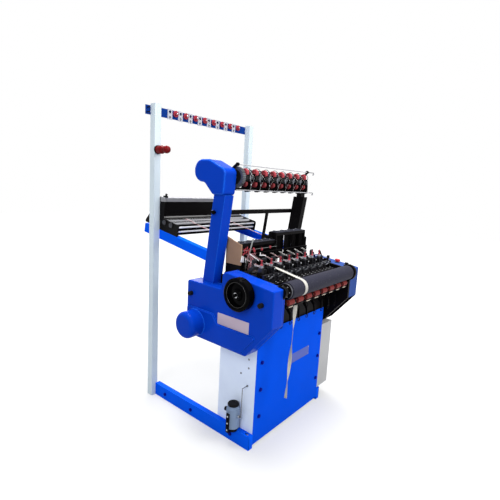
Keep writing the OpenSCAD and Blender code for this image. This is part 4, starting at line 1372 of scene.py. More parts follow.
@dataclass(frozen=True)
class LeftGear:
    """Bars, tag, strip and beads that hang before the left healds."""

    bars: tuple[Strip, ...] = (
        Strip(((0.0967, 1.176), (0.1907, 1.1225), (0.1907, 1.1305), (0.0967, 1.184)), 0.177),
        Strip(((0.1950, 1.1590), (0.2610, 1.1505), (0.2610, 1.1560), (0.1950, 1.1650)), 0.177),
        Strip(((0.2000, 1.1600), (0.2060, 1.1600), (0.2060, 1.178), (0.2000, 1.178)), 0.178, edge=0.0006),
        Strip(((0.0340, 1.133), (0.0820, 1.124), (0.0820, 1.150), (0.0460, 1.172)), 0.1955, 0.0045))
    upright: Strip = Strip(
        ((0.059, DECK_Z), (0.072, DECK_Z), (0.152, 1.268), (0.139, 1.268)), 0.1965, 0.003, 0.0006)
    wire_x: Pair = (0.040, 0.402)
    wire_yz: Pair = (0.1985, 1.200)
    wire_radius: float = 0.0018
    bead_count: int = 9
    bead_x0: float = 0.052
    bead_pitch: float = 0.0075
    bead_drop: float = 0.006
    bead_ends: Profile = ((0.194, 1.190), (0.198, 1.204))
    bead_lean: float = 0.004
    bead_radii: Pair = (0.0030, 0.0022)
    weights: Profile = ((0.156, 0.004), (0.165, -0.008), (0.240, -0.004), (0.330, 0.002))
    weight_z: float = 1.188
    weight: Profile = ((0, 0), (0.005, 0.002), (0.007, 0.009), (0.005, 0.017), (0, 0.020))

    def build(self) -> None:
        """Makes the gear."""
        white = Piece("yarn_bars", WHITE_PLASTIC, Slot.WHITE)
        for bar in self.bars:
            white.strip(bar)
        white.done()
        strip = Piece("yarn_strip", REAR_GREY, Slot.STEEL)
        strip.strip(self.upright)
        start, end = ((x, *self.wire_yz) for x in self.wire_x)
        strip.rod(start, end, self.wire_radius, sides=10)
        strip.done()
        beads = Piece("yarn_beads", PINK_RED, Slot.RED)
        (low_y, low_z), (high_y, high_z) = self.bead_ends
        for n in range(self.bead_count):
            x, drop = self.bead_x0 + self.bead_pitch * n, self.bead_drop * ((n * 4) % 7 - 3)
            top = (x + self.bead_lean, high_y, high_z + drop)
            beads.rod((x, low_y, low_z + drop), top, *self.bead_radii, sides=10)
        for x, drop in self.weights:
            beads.turned((x, self.wire_yz[0], self.weight_z + drop), UP, self.weight, steps=16)
        beads.done()


@dataclass(frozen=True)
class HealdTops:
    """Ridges, pads and screws on the tops of the heald frames, which move with them."""

    sets: tuple[tuple[str, Pair, float], ...] = (("left", LEFT_HEALDS, 1.240), ("right", RIGHT_HEALDS, 1.288))
    frames_y: Pair = (0.222, 0.262)
    ridge_y: Pair = (-0.0085, 0.0085)
    ridge_half: float = 0.0032
    ridge_height: float = 0.004
    ridge_inset: float = 0.002
    ridge_edge: float = 0.0012
    web_inset: float = 0.012
    web_y: Pair = (-0.0042, 0.0042)
    web_z: Pair = (-0.007, -0.001)
    web_edge: float = 0.0008
    pad_count: int = 4
    pad: Box = Box((-0.010, 0.010), (-0.010, 0.010), (0.0035, 0.008))
    screw: Bolt = Bolt(0.003, 0.0025)

    def top(self, side: str, number: int, limits: Pair, seat: Pair) -> None:
        """Dresses one frame.

        Args:
            side: Set that the frame belongs to.
            number: Number of the frame in its set.
            limits: Machine X of the frame's ends.
            seat: Depth of the frame and height of its top.
        """
        body = f"heald_{side}_{number}_body"
        (x0, x1), place = limits, (0.0, *seat)
        ridges = Piece(f"{side}_ridges_{number}", HEALD_GREY, Slot.HEALD, body)
        for dy in self.ridge_y:
            ridges.block(Box((x0 + self.ridge_inset, x1 - self.ridge_inset),
                             (dy - self.ridge_half, dy + self.ridge_half),
                             (0.0, self.ridge_height), self.ridge_edge), place)
        web_x = (x0 + self.web_inset, x1 - self.web_inset)
        ridges.block(Box(web_x, self.web_y, self.web_z, self.web_edge), place)
        pads_x = [x0 + (x1 - x0) * (n + 0.5) / self.pad_count for n in range(self.pad_count)]
        for x in pads_x:
            ridges.block(self.pad, (x, *seat))
        ridges.done()
        screws = Piece(f"{side}_ridge_screws_{number}", STEEL, Slot.STEEL, body)
        for x in pads_x:
            screws.bolt((x, seat[0], seat[1] + self.pad.z[1]), UP, self.screw)
        screws.done()

    def build(self) -> None:
        """Makes the tops of every frame."""
        for side, limits, top in self.sets:
            for k, y in enumerate(self.frames_y):
                self.top(side, k + 1, limits, (y, top))


@dataclass(frozen=True)
class CombBars:
    """Comb bars and pins fixed between the guides, behind the moving frames."""

    sets: tuple[tuple[Pair, float], ...] = ((LEFT_HEALDS, 1.232), (RIGHT_HEALDS, 1.262))
    overlap: float = 0.0015
    bars_y: tuple[float, ...] = (0.284, 0.297, 0.310)
    bar_half: float = 0.0045
    bar_z: Pair = (-0.010, 0.0)
    foot_y: Pair = (0.290, 0.304)
    foot_z: Pair = (-0.100, -0.090)
    pin_count: int = 24
    pin_y: float = 0.297
    pin_radius: float = 0.0008

    def build(self) -> None:
        """Makes the bars and their pins."""
        bars = Piece("comb_bars", HEALD_GREY, Slot.HEALD)
        pins = Piece("comb_pins", STEEL, Slot.STEEL)
        for (x0, x1), z in self.sets:
            limits, place = (x0 - self.overlap, x1 + self.overlap), (0.0, 0.0, z)
            for y in self.bars_y:
                bars.block(Box(limits, (y - self.bar_half, y + self.bar_half), self.bar_z), place)
            for k in range(self.pin_count):
                x = x0 + (x1 - x0) * (k + 0.5) / self.pin_count
                pins.rod((x, self.pin_y, z + self.foot_z[1]), (x, self.pin_y, z + self.bar_z[0]),
                         self.pin_radius, sides=6)
            bars.block(Box(limits, self.foot_y, self.foot_z), place)
        bars.done()
        pins.done()


@dataclass(frozen=True)
class FeederRods:
    """Clamps, clips and curled ends of the feeder's two guide rods."""

    clamps_x: Pair = (0.024, 0.806)
    clamp: Profile = ((0, 0), (0.011, 0), (0.011, 0.012), (0, 0.012))
    clip: Box = Box((-0.014, 0.014), (-0.006, 0.008), (-0.010, -0.0025), 0.003)
    ends_x: Pair = (0.837, 0.848)
    curl_x: float = 0.900
    curl_radius: float = 0.008
    curl_sweep: float = -4.2
    wire: float = 0.003

    def build(self) -> None:
        """Makes the clamps, the clips and the curls."""
        clamps = Piece("feeder_clamps", BLACK, Slot.BLACK)
        for x in self.clamps_x:
            clamps.turned((x, *UPPER_ROD), RIGHT, self.clamp, steps=20)
        for k in range(HEAD_COUNT):
            clamps.block(self.clip, (feed_x(k), *LOWER_ROD))
        clamps.done()
        curls = Piece("feeder_rod_curls", DULL_STEEL, Slot.STEEL)
        for (y, z), x in zip((UPPER_ROD, LOWER_ROD), self.ends_x):
            centre = (self.curl_x, y, z - self.curl_radius)
            bend = curl(centre, self.curl_radius, math.pi / 2, self.curl_sweep)
            curls.sweep([(x, y, z), (self.curl_x, y, z), *bend], self.wire)
        curls.done()


@dataclass(frozen=True)
class FeedWheels:
    """Hubs, lobe rims, knives, guards and brakes, one set for each feed wheel."""

    body: str = "feeder"
    hub_x: float = -0.012
    hub: Profile = ((0.0102, 0), (0.022, 0), (0.022, 0.006), (0.018, 0.009), (0.0102, 0.009))
    dot_xz: Pair = (-0.0195, 0.0145)
    dot: Profile = ((0, 0), (0.0034, 0), (0.0034, 0.003), (0, 0.0032))
    rim_x: float = -0.008
    rim: Profile = ((-0.006, 0), (0, 0), (0, 0.002), (-0.002, 0.0035), (-0.005, 0.003), (-0.006, 0))
    upper_rim: Pair = (0.0315, 0.0235)
    lower_rim: Pair = (-0.0365, 0.0185)
    knife: Box = Box((0.0165, 0.0242), (-0.030, -0.004), (-0.020, 0.012))
    knife_bolt: Bolt = Bolt(0.004)
    knife_yz: Pair = (-0.020, -0.004)
    guard_xz: Pair = (0.0185, 0.0300)
    guard_radius: float = 0.0300
    guard_wire: float = 0.0020
    upper_brake: Box = Box((0.0345, 0.062), (-0.004, 0.042), (0.016, 0.050), 0.002)
    lower_brake: Box = Box((0.0345, 0.062), (-0.008, 0.046), (-0.050, -0.016), 0.002)
    upper_screws: Profile = ((0.042, 0.040), (0.055, 0.024))
    lower_screws: Profile = ((0.043, -0.026), (0.055, -0.040))
    brake_screw: Bolt = Bolt(0.0038)

    def build(self) -> None:
        """Makes the sets of all wheels."""
        y, z = FEED_SHAFT
        hubs = Piece("feed_hubs", BLACK_GLOSS, Slot.PLASTIC, self.body)
        dots = Piece("feed_hub_dots", WHITE_PLASTIC, Slot.WHITE, self.body)
        upper = Piece("feed_lobe_rims", PINK_RED, Slot.RED, self.body)
        lower = Piece("feed_low_rims", DULL_RED, Slot.RED, self.body)
        knives = Piece("feed_knives", DULL_STEEL, Slot.STEEL)
        guards = Piece("feed_guards", BLACK, Slot.BLACK)
        brakes = Piece("feed_brakes", HEALD_GREY, Slot.BLACK)
        screws = Piece("feed_brake_screws", STEEL, Slot.STEEL)
        for k in range(HEAD_COUNT):
            x = feed_x(k)
            hubs.turned((x + self.hub_x, y, z), LEFT, self.hub)
            dots.turned((x + self.dot_xz[0], y, z + self.dot_xz[1]), LEFT, self.dot, steps=14)
            for rims, (rise, radius) in ((upper, self.upper_rim), (lower, self.lower_rim)):
                profile = [(radius + r, h) for r, h in self.rim]
                rims.turned((x + self.rim_x, y, z + rise), LEFT, profile, steps=24)
            knives.block(self.knife, (x, y, z))
            seat = (x + self.knife.x[0], y + self.knife_yz[0], z + self.knife_yz[1])
            knives.bolt(seat, LEFT, self.knife_bolt)
            centre = (x + self.guard_xz[0], y, z + self.guard_xz[1])
            guards.ring(centre, RIGHT, self.guard_radius, self.guard_wire)
            if k == HEAD_COUNT - 1:
                break
            for brake, places in ((self.upper_brake, self.upper_screws),
                                  (self.lower_brake, self.lower_screws)):
                brakes.block(brake, (x, y, z))
                for dx, dz in places:
                    screws.bolt((x + dx, y + brake.y[0], z + dz), FRONT, self.brake_screw)
        for piece in (hubs, dots, upper, lower, knives, guards, brakes, screws):
            piece.done()


@dataclass(frozen=True)
class ToothedWheel:
    """Dark web, ribs and tooth tips of the toothed wheel, which turn with the feeder's shaft."""

    body: str = "feeder"
    web_x: float = 0.0326
    web: Profile = ((0.0125, 0), (0.0125, 0.0014), (0.0430, 0.0014), (0.0440, 0))
    count: int = 36
    half: float = 0.0022
    rib_x: float = 0.0308
    rib_radii: Pair = (0.046, 0.0615)
    rib_thickness: float = 0.0016
    rib_edge: float = 0.0003
    tip_x: float = 0.0335
    tip_radii: Pair = (0.0610, 0.0625)
    tip_length: float = 0.023

    def tooth(self, x: float, angle: float, radii: Pair) -> list[Point]:
        """Lays out one tooth in the plane of the wheel.

        Args:
            x: Machine X of the plane.
            angle: Direction of the tooth.
            radii: Inner and outer end of the tooth.

        Returns:
            The four corners.
        """
        c, s = math.cos(angle), math.sin(angle)
        (near, far), w = radii, self.half
        corners = ((near, -w), (far, -w), (far, w), (near, w))
        y, z = FEED_SHAFT
        return [(x, y + r * c - side * s, z + r * s + side * c) for r, side in corners]

    def build(self) -> None:
        """Makes the web and the teeth."""
        web = Piece("gear_web", BLACK_MATTE, Slot.PLASTIC, self.body)
        web.turned((self.web_x, *FEED_SHAFT), LEFT, self.web, steps=self.count)
        web.done()
        teeth = Piece("gear_teeth", DULL_STEEL, Slot.STEEL, self.body)
        for k in range(self.count):
            angle = math.tau * k / self.count
            rib = self.tooth(self.rib_x, angle, self.rib_radii)
            teeth.plate(rib, (self.rib_thickness, 0, 0), self.rib_edge)
            teeth.plate(self.tooth(self.tip_x, angle, self.tip_radii), (self.tip_length, 0, 0))
        teeth.done()


@dataclass(frozen=True)
class FeederThreads:
    """Weft threads from the upper rod past the wheels to the lower rod."""

    shifts: Point = (-0.016, 0.010, 0.024)
    front: float = -0.003
    pass_yz: Pair = (0.200, 1.640)
    radius: float = 0.0004

    def build(self) -> None:
        """Makes one thread for each wheel."""
        pale = Piece("feeder_threads", WHITE_YARN, Slot.TAPE)
        for k in range(HEAD_COUNT):
            first, middle, last = (feed_x(k) + shift for shift in self.shifts)
            pale.sweep([(first, UPPER_ROD[0] + self.front, UPPER_ROD[1]), (middle, *self.pass_yz),
                        (last, LOWER_ROD[0] + self.front, LOWER_ROD[1])], self.radius, sides=6)
        pale.done()


@dataclass(frozen=True)
class ColumnRod:
    """Thin rod, its peg and the knob beside the left column; depths and heights lean with the column."""

    rod_x: float = 0.030
    rod_y: float = 0.085
    rod_z: Pair = (0.428, 0.560)
    rod_radius: float = 0.005
    peg_x: Pair = (0.026, 0.014)
    peg_z: float = 0.556
    peg_radius: float = 0.007
    knob_x: float = -0.060
    knob_yz: Pair = (0.060, 0.436)
    knob: Profile = ((0.006, 0), (0.006, 0.008), (0.012, 0.010), (0.014, 0.016), (0.011, 0.022), (0, 0.024))

    def build(self) -> None:
        """Makes the rod from the tie bar up to the swan neck, and the knob."""
        rod = Piece("column_rod", BLACK, Slot.BLACK)
        rod.sweep([(self.rod_x, *leaning(self.rod_y, z)) for z in self.rod_z], self.rod_radius)
        start, end = ((x, *leaning(self.rod_y, self.peg_z)) for x in self.peg_x)
        rod.rod(start, end, self.peg_radius)
        rod.done()
        knob = Piece("column_knob", BLACK_GLOSS, Slot.PLASTIC)
        knob.turned((self.knob_x, *leaning(*self.knob_yz)), LEFT, self.knob)
        knob.done()


@dataclass(frozen=True)
class RearUnit:
    """Bars, roller caps, tray, ridges and clamp of the rear unit; depths and heights rise with the rails."""

    left: float = -0.015
    right: float = 0.805
    bars: Profile = ((0.4415, 0.203), (0.4415, 0.233))
    bar_half: Pair = (0.0035, 0.0050)
    front: Pair = (0.4475, 0.2150)
    front_half: Pair = (0.0025, 0.0370)
    rollers: Profile = ((0.500, 0.235), (0.572, 0.235))
    roller_x: float = -0.0262
    roller_cap: Profile = ((0, 0), (0.018, 0), (0.018, 0.003), (0.014, 0.005), (0, 0.005))
    tray: Pair = (0.520, 0.191)
    tray_half: Pair = (0.070, 0.0012)
    tray_edge: float = 0.0005
    rods: Profile = ((0.640, 0.226), (0.672, 0.232))
    rod_radius: float = 0.006
    ridge_x: float = 0.600
    ridge_count: int = 6
    ridge_start: Pair = (0.598, 0.260)
    ridge_pitch: float = 0.018
    ridge_radius: float = 0.005
    clamp: Pair = (0.622, 0.4005)
    clamp_box: Box = Box((-0.012, 0.010), (-0.014, 0.014), (-0.004, 0.012), 0.002)
    clamp_lever: tuple[Point, Point] = ((-0.001, 0.0, 0.012), (0.006, -0.004, 0.024))
    clamp_radii: Pair = (0.006, 0.009)

    def beam(self, piece: Piece, place: Pair, half: Pair, edge: float = 0.001) -> None:
        """Adds a flat bar between the side plates, square to the rails.

        Args:
            piece: Piece that takes the bar.
            place: Depth and height of the bar's middle.
            half: Half the bar's depth and height.
            edge: Radius of its edges.
        """
        (y, z), (dy, dz) = place, half
        corners = ((y - dy, z - dz), (y + dy, z - dz), (y + dy, z + dz), (y - dy, z + dz))
        piece.plate([(self.left, *rising(*c)) for c in corners], (self.right - self.left, 0, 0), edge)

    def build(self) -> None:
        """Makes the unit's fittings."""
        bars = Piece("rear_pale_bars", WHITE_PLASTIC, Slot.WHITE)
        for place in self.bars:
            self.beam(bars, place, self.bar_half)
        bars.done()
        front = Piece("rear_front_strip", BLACK, Slot.BLACK)
        self.beam(front, self.front, self.front_half)
        front.done()
        for k, place in enumerate(self.rollers):
            caps = Piece(f"idler_cap_{k + 1}", HEAD_STEEL, Slot.CHROME, f"guide_idler_{k + 1}")
            caps.turned((self.roller_x, *rising(*place)), LEFT, self.roller_cap)
            caps.done()
        tray = Piece("rear_tray", REAR_GREY, Slot.STEEL)
        self.beam(tray, self.tray, self.tray_half, self.tray_edge)
        tray.done()
        rods = Piece("rear_cross_rods", STEEL, Slot.STEEL)
        for place in self.rods:
            rods.rod((self.left, *rising(*place)), (self.right, *rising(*place)), self.rod_radius)
        rods.done()
        ridges = Piece("rear_ridges", DULL_STEEL, Slot.STEEL)
        for k in range(self.ridge_count):
            place = rising(self.ridge_start[0] + self.ridge_pitch * k, self.ridge_start[1])
            ridges.rod((self.ridge_x, *place), (self.right, *place), self.ridge_radius)
        ridges.done()
        clamp = Piece("rear_clamp", BLACK_MATTE, Slot.PLASTIC)
        y, z = rising(*self.clamp)
        clamp.block(self.clamp_box, (0.0, y, z))
        start, end = ((x, y + dy, z + dz) for x, dy, dz in self.clamp_lever)
        clamp.rod(start, end, *self.clamp_radii)
        clamp.done()


@dataclass(frozen=True)
class WarpYarns:
    """A few warp yarns from the guide rollers down toward the healds."""

    heads: tuple[int, ...] = (1, 5)
    spacing: float = 0.012
    rail_path: Profile = ((0.574, 0.2553), (0.4995, 0.2550), (0.478, 0.2480))
    heald_end: Pair = (0.330, 1.215)
    radius: float = 0.0009

    def build(self) -> None:
        """Makes a pink and a pale yarn for each of the heads."""
        pink = Piece("warp_yarns_pink", PINK_YARN, Slot.TAPE)
        pale = Piece("warp_yarns_pale", WHITE_YARN, Slot.TAPE)
        path = [*(rising(*place) for place in self.rail_path), self.heald_end]
        for k in self.heads:
            for n, yarn in enumerate((pink, pale)):
                x = head_x(k) + self.spacing * n
                yarn.sweep([(x, *place) for place in path], self.radius, sides=6)
        pink.done()
        pale.done()


@dataclass(frozen=True)
class Creel:
    """Eyelets, spring caps and bolts of the creel's tensioners."""

    x: float = 0.018
    bar_yz: Pair = (0.968, 2.058)
    upper_eye: Pair = (-0.004, 0.016)
    upper_ring: Pair = (0.0078, 0.0022)
    lower_eye: Pair = (-0.0045, -0.020)
    lower_ring: Pair = (0.0055, 0.0018)
    cap_place: Point = (0.046, -0.0245, 0.008)
    cap: Profile = ((0, 0), (0.006, 0), (0.006, 0.004), (0.004, 0.006), (0, 0.006))
    bolt_yz: Pair = (-0.004, -0.004)
    bolt: Bolt = Bolt(0.003)

    def build(self) -> None:
        """Makes the fittings of every tensioner."""
        eyes = Piece("creel_eyelets", BLACK_GLOSS, Slot.PLASTIC)
        caps = Piece("creel_caps", STEEL, Slot.STEEL)
        y, z = self.bar_yz
        for k in range(HEAD_COUNT):
            x = head_x(k) + self.x
            for (dy, dz), ring in ((self.upper_eye, self.upper_ring), (self.lower_eye, self.lower_ring)):
                eyes.ring((x, y + dy, z + dz), BACK, *ring)
            dx, dy, dz = self.cap_place
            caps.turned((x + dx, y + dy, z + dz), FRONT, self.cap, steps=16)
            caps.bolt((x, y + self.bolt_yz[0], z + self.bolt_yz[1]), FRONT, self.bolt)
        eyes.done()
        caps.done()


@dataclass(frozen=True)
class PumpFittings:
    """Ribbed cap, screws, outlet and gauge of the oil pump."""

    centre: Pair = (-0.048, 0.125)
    cap_z: float = 0.2565
    cap: Profile = ((0.028, 0), (0.033, 0.001), (0.035, 0.006), (0.035, 0.013), (0.032, 0.0165), (0, 0.0172))
    rib_count: int = 18
    rib_circle: float = 0.035
    rib_z: Pair = (0.259, 0.270)
    rib_radius: float = 0.0016
    screw_x: float = -0.051
    screws_z: tuple[float, ...] = (0.110, 0.155, 0.200)
    screw: Bolt = Bolt(0.0045, 0.0035)
    outlet_yz: Pair = (-0.046, 0.200)
    outlet: Profile = ((0.0072, 0), (0.0105, 0), (0.0105, 0.006), (0.0072, 0.007))
    glasses: tuple[Box, ...] = (
        Box((-0.0525, -0.0505), (-0.006, 0.006), (0.120, 0.146), 0.0008),
        Box((-0.0525, -0.0505), (-0.006, 0.006), (0.164, 0.190), 0.0008))

    def build(self) -> None:
        """Makes the fittings."""
        x, y = self.centre
        cap = Piece("pump_cap", BLACK_MATTE, Slot.PLASTIC)
        cap.turned((x, y, self.cap_z), UP, self.cap)
        for k in range(self.rib_count):
            dx, dy = on_circle(self.rib_circle, math.tau * k / self.rib_count)
            foot, top = ((x + dx, y + dy, z) for z in self.rib_z)
            cap.rod(foot, top, self.rib_radius, sides=8)
        cap.done()
        screws = Piece("pump_screws", STEEL, Slot.STEEL)
        for z in self.screws_z:
            screws.bolt((x + self.screw_x, y, z), LEFT, self.screw)
        screws.turned((x, y + self.outlet_yz[0], self.outlet_yz[1]), FRONT, self.outlet, steps=6)
        screws.done()
        gauge = Piece("pump_gauge", BLACK_GLOSS, Slot.PLASTIC)
        for glass in self.glasses:
            gauge.block(glass, (x, y, 0.0))
        gauge.done()


@dataclass(frozen=True)
class Switchgear:
    """Bezels of the buttons, and the hinges and lid frame of the electrical box."""

    slope: float = math.atan2(0.045, 0.378)
    slope_foot: Pair = (-0.165, 1.050)
    button_x: float = 0.8825
    buttons_y: Pair = (-0.020, -0.095)
    bezel_lift: float = 0.0035
    bezel: Profile = ((0.0185, 0), (0.0200, 0.0004), (0.0200, 0.0010), (0.0165, 0.0017), (0.0125, 0.0017))
    hinge_xy: Pair = (0.9345, 0.2535)
    hinges_z: Pair = (0.180, 0.500)
    hinge_half: float = 0.022
    hinge_radius: float = 0.0028
    lid: Box = Box((0.9338, 0.9352), (0.022, 0.233), (0.112, 0.583), 0.0006)

    def build(self) -> None:
        """Makes the bezels, the hinges and the frame that swings with the lid."""
        bezels = Piece("button_bezels", DULL_STEEL, Slot.STEEL)
        up = (0.0, -math.sin(self.slope), math.cos(self.slope))
        for y in self.buttons_y:
            z = self.slope_foot[1] + (y - self.slope_foot[0]) * math.tan(self.slope)
            base = Vector((self.button_x, y, z)) + self.bezel_lift * Vector(up)
            bezels.turned(tuple(base), up, self.bezel)
        bezels.done()
        hinges = Piece("box_hinges", DULL_STEEL, Slot.STEEL)
        for z in self.hinges_z:
            foot, top = ((*self.hinge_xy, z + way * self.hinge_half) for way in (-1, 1))
            hinges.rod(foot, top, self.hinge_radius)
        hinges.done()
        lid = Piece("lid_frame", CREAM, Slot.CREAM, "box_door")
        lid.block(self.lid)
        lid.done()


def share(value: float, limits: Pair) -> float:
    """How far a value has gone between two limits, from 0 to 1."""
    return min(1.0, max(0.0, (value - limits[0]) / (limits[1] - limits[0])))


@dataclass(frozen=True)
class Tape:
    """The woven tape: over the roller, round the press roller and down in a twisting tail."""

    head: int = 1
    width: float = 0.028
    thickness: float = 0.001
    columns: int = 6
    roller_r: float = 0.05068
    roller_steps: int = 40
    press_r: float = 0.01918
    press_steps: int = 14
    fell: Pair = (FELL_Y + 0.010, 1.1128)
    lip: Pair = (FELL_Y - 0.017, 1.1128)
    tail_z: float = 0.335
    tail_steps: int = 40
    taper: float = 0.40
    cup: float = 0.004
    drift: float = -0.034
    drift_power: float = 1.6
    face_limits: Pair = (0.03, 0.10)
    face_turn: float = -0.6
    edge_limits: Pair = (0.12, 0.32)
    edge_turn: float = 0.60
    curl_start: float = 0.45
    curl_rate: float = 8.0

    def route(self) -> list[Pair]:
        """Follows the tape from the reed over the two rollers and down.

        Returns:
            Depth and height of each row.
        """
        away = Vector(self.lip) - Vector(TAKE_UP)
        first = math.atan2(away.y, away.x) + math.acos(self.roller_r / away.length)
        nip = math.atan2(PRESS_ROLL[1] - TAKE_UP[1], PRESS_ROLL[0] - TAKE_UP[0]) + math.tau
        path = [self.fell, self.lip]
        for k in range(self.roller_steps + 1):
            dy, dz = on_circle(self.roller_r, first + (nip - first) * k / self.roller_steps)
            path.append((TAKE_UP[0] + dy, TAKE_UP[1] + dz))
        for k in range(1, self.press_steps + 1):
            dy, dz = on_circle(self.press_r, (nip - math.pi) * (1 - k / self.press_steps))
            path.append((PRESS_ROLL[0] + dy, PRESS_ROLL[1] + dz))
        y, top = path[-1]
        drop = self.tail_z - top
        path += [(y, top + drop * k / self.tail_steps) for k in range(1, self.tail_steps + 1)]
        return path

    def turn(self, fall: float) -> float:
        """Twists the tail: toward the eye, then edge on, then a slow curl near its end.

        Args:
            fall: How far down the tail the row is, from 0 to 1.

        Returns:
            Angle of the row.
        """
        face, edge = share(fall, self.face_limits), share(fall, self.edge_limits)
        curled = self.curl_rate * max(0.0, fall - self.curl_start)
        return self.face_turn * face * (1 - edge) + self.edge_turn * edge + curled

    def row(self, y: float, z: float, fall: float) -> list[Point]:
        """Lays out one row across the tape.

        Args:
            y: Depth of the row.
            z: Height of the row.
            fall: How far down the tail the row is, from 0 to 1.

        Returns:
            The points from the left edge to the right edge.
        """
        twist = self.turn(fall)
        half = self.width / 2 * (1 - self.taper * fall)
        middle = head_x(self.head) + self.drift * fall ** self.drift_power
        points = []
        for c in range(self.columns + 1):
            u = 2 * c / self.columns - 1
            dx, dy = on_circle(half * u, twist)
            points.append((middle + dx, y + dy + self.cup * fall * (1 - u * u), z))
        return points

    def build(self) -> None:
        path = self.route()
        lengths = [0.0]
        for a, b in zip(path, path[1:]):
            lengths.append(lengths[-1] + math.dist(a, b))
        bm = bmesh.new()
        layer = bm.loops.layers.uv.new("UVMap")
        rows, flat = [], {}
        top = path[-self.tail_steps - 1][1]
        for (y, z), along in zip(path, lengths):
            hangs = y > TAKE_UP[0] and z < top
            fall = (top - z) / (top - self.tail_z) if hangs else 0.0
            rows.append([bm.verts.new(point) for point in self.row(y, z, fall)])
            flat.update({vert: (c / self.columns, along) for c, vert in enumerate(rows[-1])})
        for a, b in zip(rows, rows[1:]):
            for c in range(self.columns):
                face = bm.faces.new((a[c], a[c + 1], b[c + 1], b[c]))
                face.smooth = True
                for loop in face.loops:
                    loop[layer].uv = flat[loop.vert]
        bmesh.ops.translate(bm, verts=bm.verts, vec=ORIGIN)
        mesh = bpy.data.meshes.new("tape_sheet")
        bm.to_mesh(mesh)
        bm.free()
        mesh.materials.append(CLOTH.material())
        tape = bpy.data.objects.new("tape_sheet", mesh)
        bpy.context.scene.collection.objects.link(tape)
        skin = tape.modifiers.new("thickness", "SOLIDIFY")
        skin.thickness = self.thickness
        skin.offset = 0.0
        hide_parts("woven_tape")
        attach(tape, "frame")
        LOG.info("tape_sheet: %.3f m long", lengths[-1])


@dataclass(frozen=True)
class Lamp:
    """A soft round area light: its place in the scene, its width and its power."""

    name: str
    place: Point
    size: float
    power: float


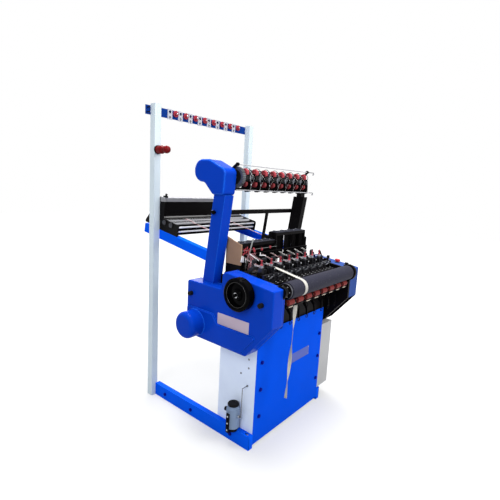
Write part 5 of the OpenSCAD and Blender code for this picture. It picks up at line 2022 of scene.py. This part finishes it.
@dataclass(frozen=True)
class Studio:
    """Pale floor, white surround, soft lights and the camera of the photograph."""

    eye: Point = (-1.69657, -1.28594, 1.59253)
    right: Point = (0.63877, -0.76750, 0.05397)
    down: Point = (-0.09309, -0.14673, -0.98479)
    ahead: Point = (0.76374, 0.62403, -0.16517)
    lens: float = 27.56
    sensor: float = 36.0
    far_clip: float = 100.0
    floor_size: float = 30.0
    floor_color: Color = (0.40, 0.40, 0.40)
    floor_glow: Pair = (0.42, 0.95)
    glow_reach: Pair = (0.9, 4.0)
    sky_color: Color = (0.93, 0.96, 1.0)
    sky_strength: float = 0.50
    white: Color = (1.0, 1.0, 1.0)
    aim: Point = (0.0, -0.2, 0.9)
    lamps: tuple[Lamp, ...] = (
        Lamp("key", (1.0, -3.8, 2.8), 2.4, 112.0),
        Lamp("side", (-3.2, -1.6, 2.8), 2.0, 62.0),
        Lamp("top", (0.2, 0.2, 6.5), 3.8, 560.0),
        Lamp("back", (1.8, 3.4, 2.6), 2.4, 50.0))

    def camera(self) -> None:
        """Stands the camera where the photograph was taken."""
        data = bpy.data.cameras.new("camera")
        data.sensor_width = self.sensor
        data.lens = self.lens
        data.clip_end = self.far_clip
        camera = bpy.data.objects.new("camera", data)
        turn = Matrix((self.right, [-v for v in self.down], [-v for v in self.ahead])).transposed()
        camera.matrix_world = Matrix.Translation(Vector(self.eye) + ORIGIN) @ turn.to_4x4()
        bpy.context.scene.collection.objects.link(camera)
        bpy.context.scene.camera = camera

    def light(self, lamp: Lamp) -> None:
        """Hangs one lamp, turned to the aim.

        Args:
            lamp: The lamp's name, place, width and power.
        """
        data = bpy.data.lights.new(lamp.name, "AREA")
        data.shape = "DISK"
        data.size = lamp.size
        data.energy = lamp.power
        light = bpy.data.objects.new(lamp.name, data)
        light.location = lamp.place
        light.rotation_euler = (Vector(self.aim) - Vector(lamp.place)).to_track_quat("-Z", "Y").to_euler()
        bpy.context.scene.collection.objects.link(light)

    def seen(self, graph: Graph, shader: Wire, white: Wire) -> Wire:
        """Parts what the eye sees from what lights the machine.

        Args:
            graph: The tree that takes the nodes.
            shader: Shader for every other ray.
            white: Shader for the eye, for mirrors and through glass.

        Returns:
            The mixed shader.
        """
        direct: Any = 0.0
        for kind in ("Camera", "Glossy", "Transmission"):
            ray = graph.add("ShaderNodeLightPath", out=f"Is {kind} Ray")
            direct = graph.add("ShaderNodeMath", {0: ray, 1: direct}, operation="MAXIMUM")
        return graph.add("ShaderNodeMixShader", {0: direct, 1: shader, 2: white})

    def floor(self) -> None:
        """Lays the pale floor, which the eye sees as white with the machine's soft shadow."""
        bm = bmesh.new()
        bmesh.ops.create_grid(bm, x_segments=1, y_segments=1, size=self.floor_size / 2)
        mesh = bpy.data.meshes.new("floor")
        bm.to_mesh(mesh)
        bm.free()
        g = Graph(bpy.data.materials.new("pale_floor"))
        matte = g.add("ShaderNodeBsdfDiffuse", {"Color": self.floor_color})
        where = g.add("ShaderNodeTexCoord", out="Object")
        away = g.add("ShaderNodeVectorMath", {0: where}, out="Value", operation="LENGTH")
        near, far = self.floor_glow
        strength = near + (far - near) * g.ramp(away, *self.glow_reach)
        glow = g.add("ShaderNodeEmission", {"Color": self.white, "Strength": strength})
        lit = g.add("ShaderNodeAddShader", {0: matte, 1: glow})
        g.add("ShaderNodeOutputMaterial", {"Surface": self.seen(g, matte, lit)})
        mesh.materials.append(g.owner)
        floor = bpy.data.objects.new("floor", mesh)
        bpy.context.scene.collection.objects.link(floor)

    def world(self) -> None:
        """Gives the eye a white surround and the machine soft grey light."""
        g = Graph(bpy.data.worlds.new("studio"))
        bpy.context.scene.world = g.owner
        soft = g.add("ShaderNodeBackground", {"Color": self.sky_color, "Strength": self.sky_strength})
        white = g.add("ShaderNodeBackground", {"Color": self.white, "Strength": 1.0})
        g.add("ShaderNodeOutputWorld", {"Surface": self.seen(g, soft, white)})

    def build(self) -> None:
        """Sets up the whole studio."""
        bpy.context.scene.view_settings.view_transform = "Standard"
        self.camera()
        self.floor()
        self.world()
        for lamp in self.lamps:
            self.light(lamp)


def main() -> None:
    """Builds the studio, dresses the machine and adds the fittings."""
    logging.basicConfig(level=logging.INFO, format="%(message)s")
    Studio().build()
    dress_nodes()
    for assembly in (Tape(), Plates(), PanelBolts(), WheelFittings(), RollerEnds(), PressGear(), WeftPins(),
                     HeadFittings(), Deck(), LatchClamps(), WeftYarns(), TapeGuides(), LeftGear(),
                     HealdTops(), CombBars(), FeederRods(), FeedWheels(), ToothedWheel(), FeederThreads(),
                     ColumnRod(), RearUnit(), WarpYarns(), Creel(), PumpFittings(), Switchgear()):
        assembly.build()
    LOG.info("added faces: %d", Piece.total)


if __name__ == "__main__":
    main()
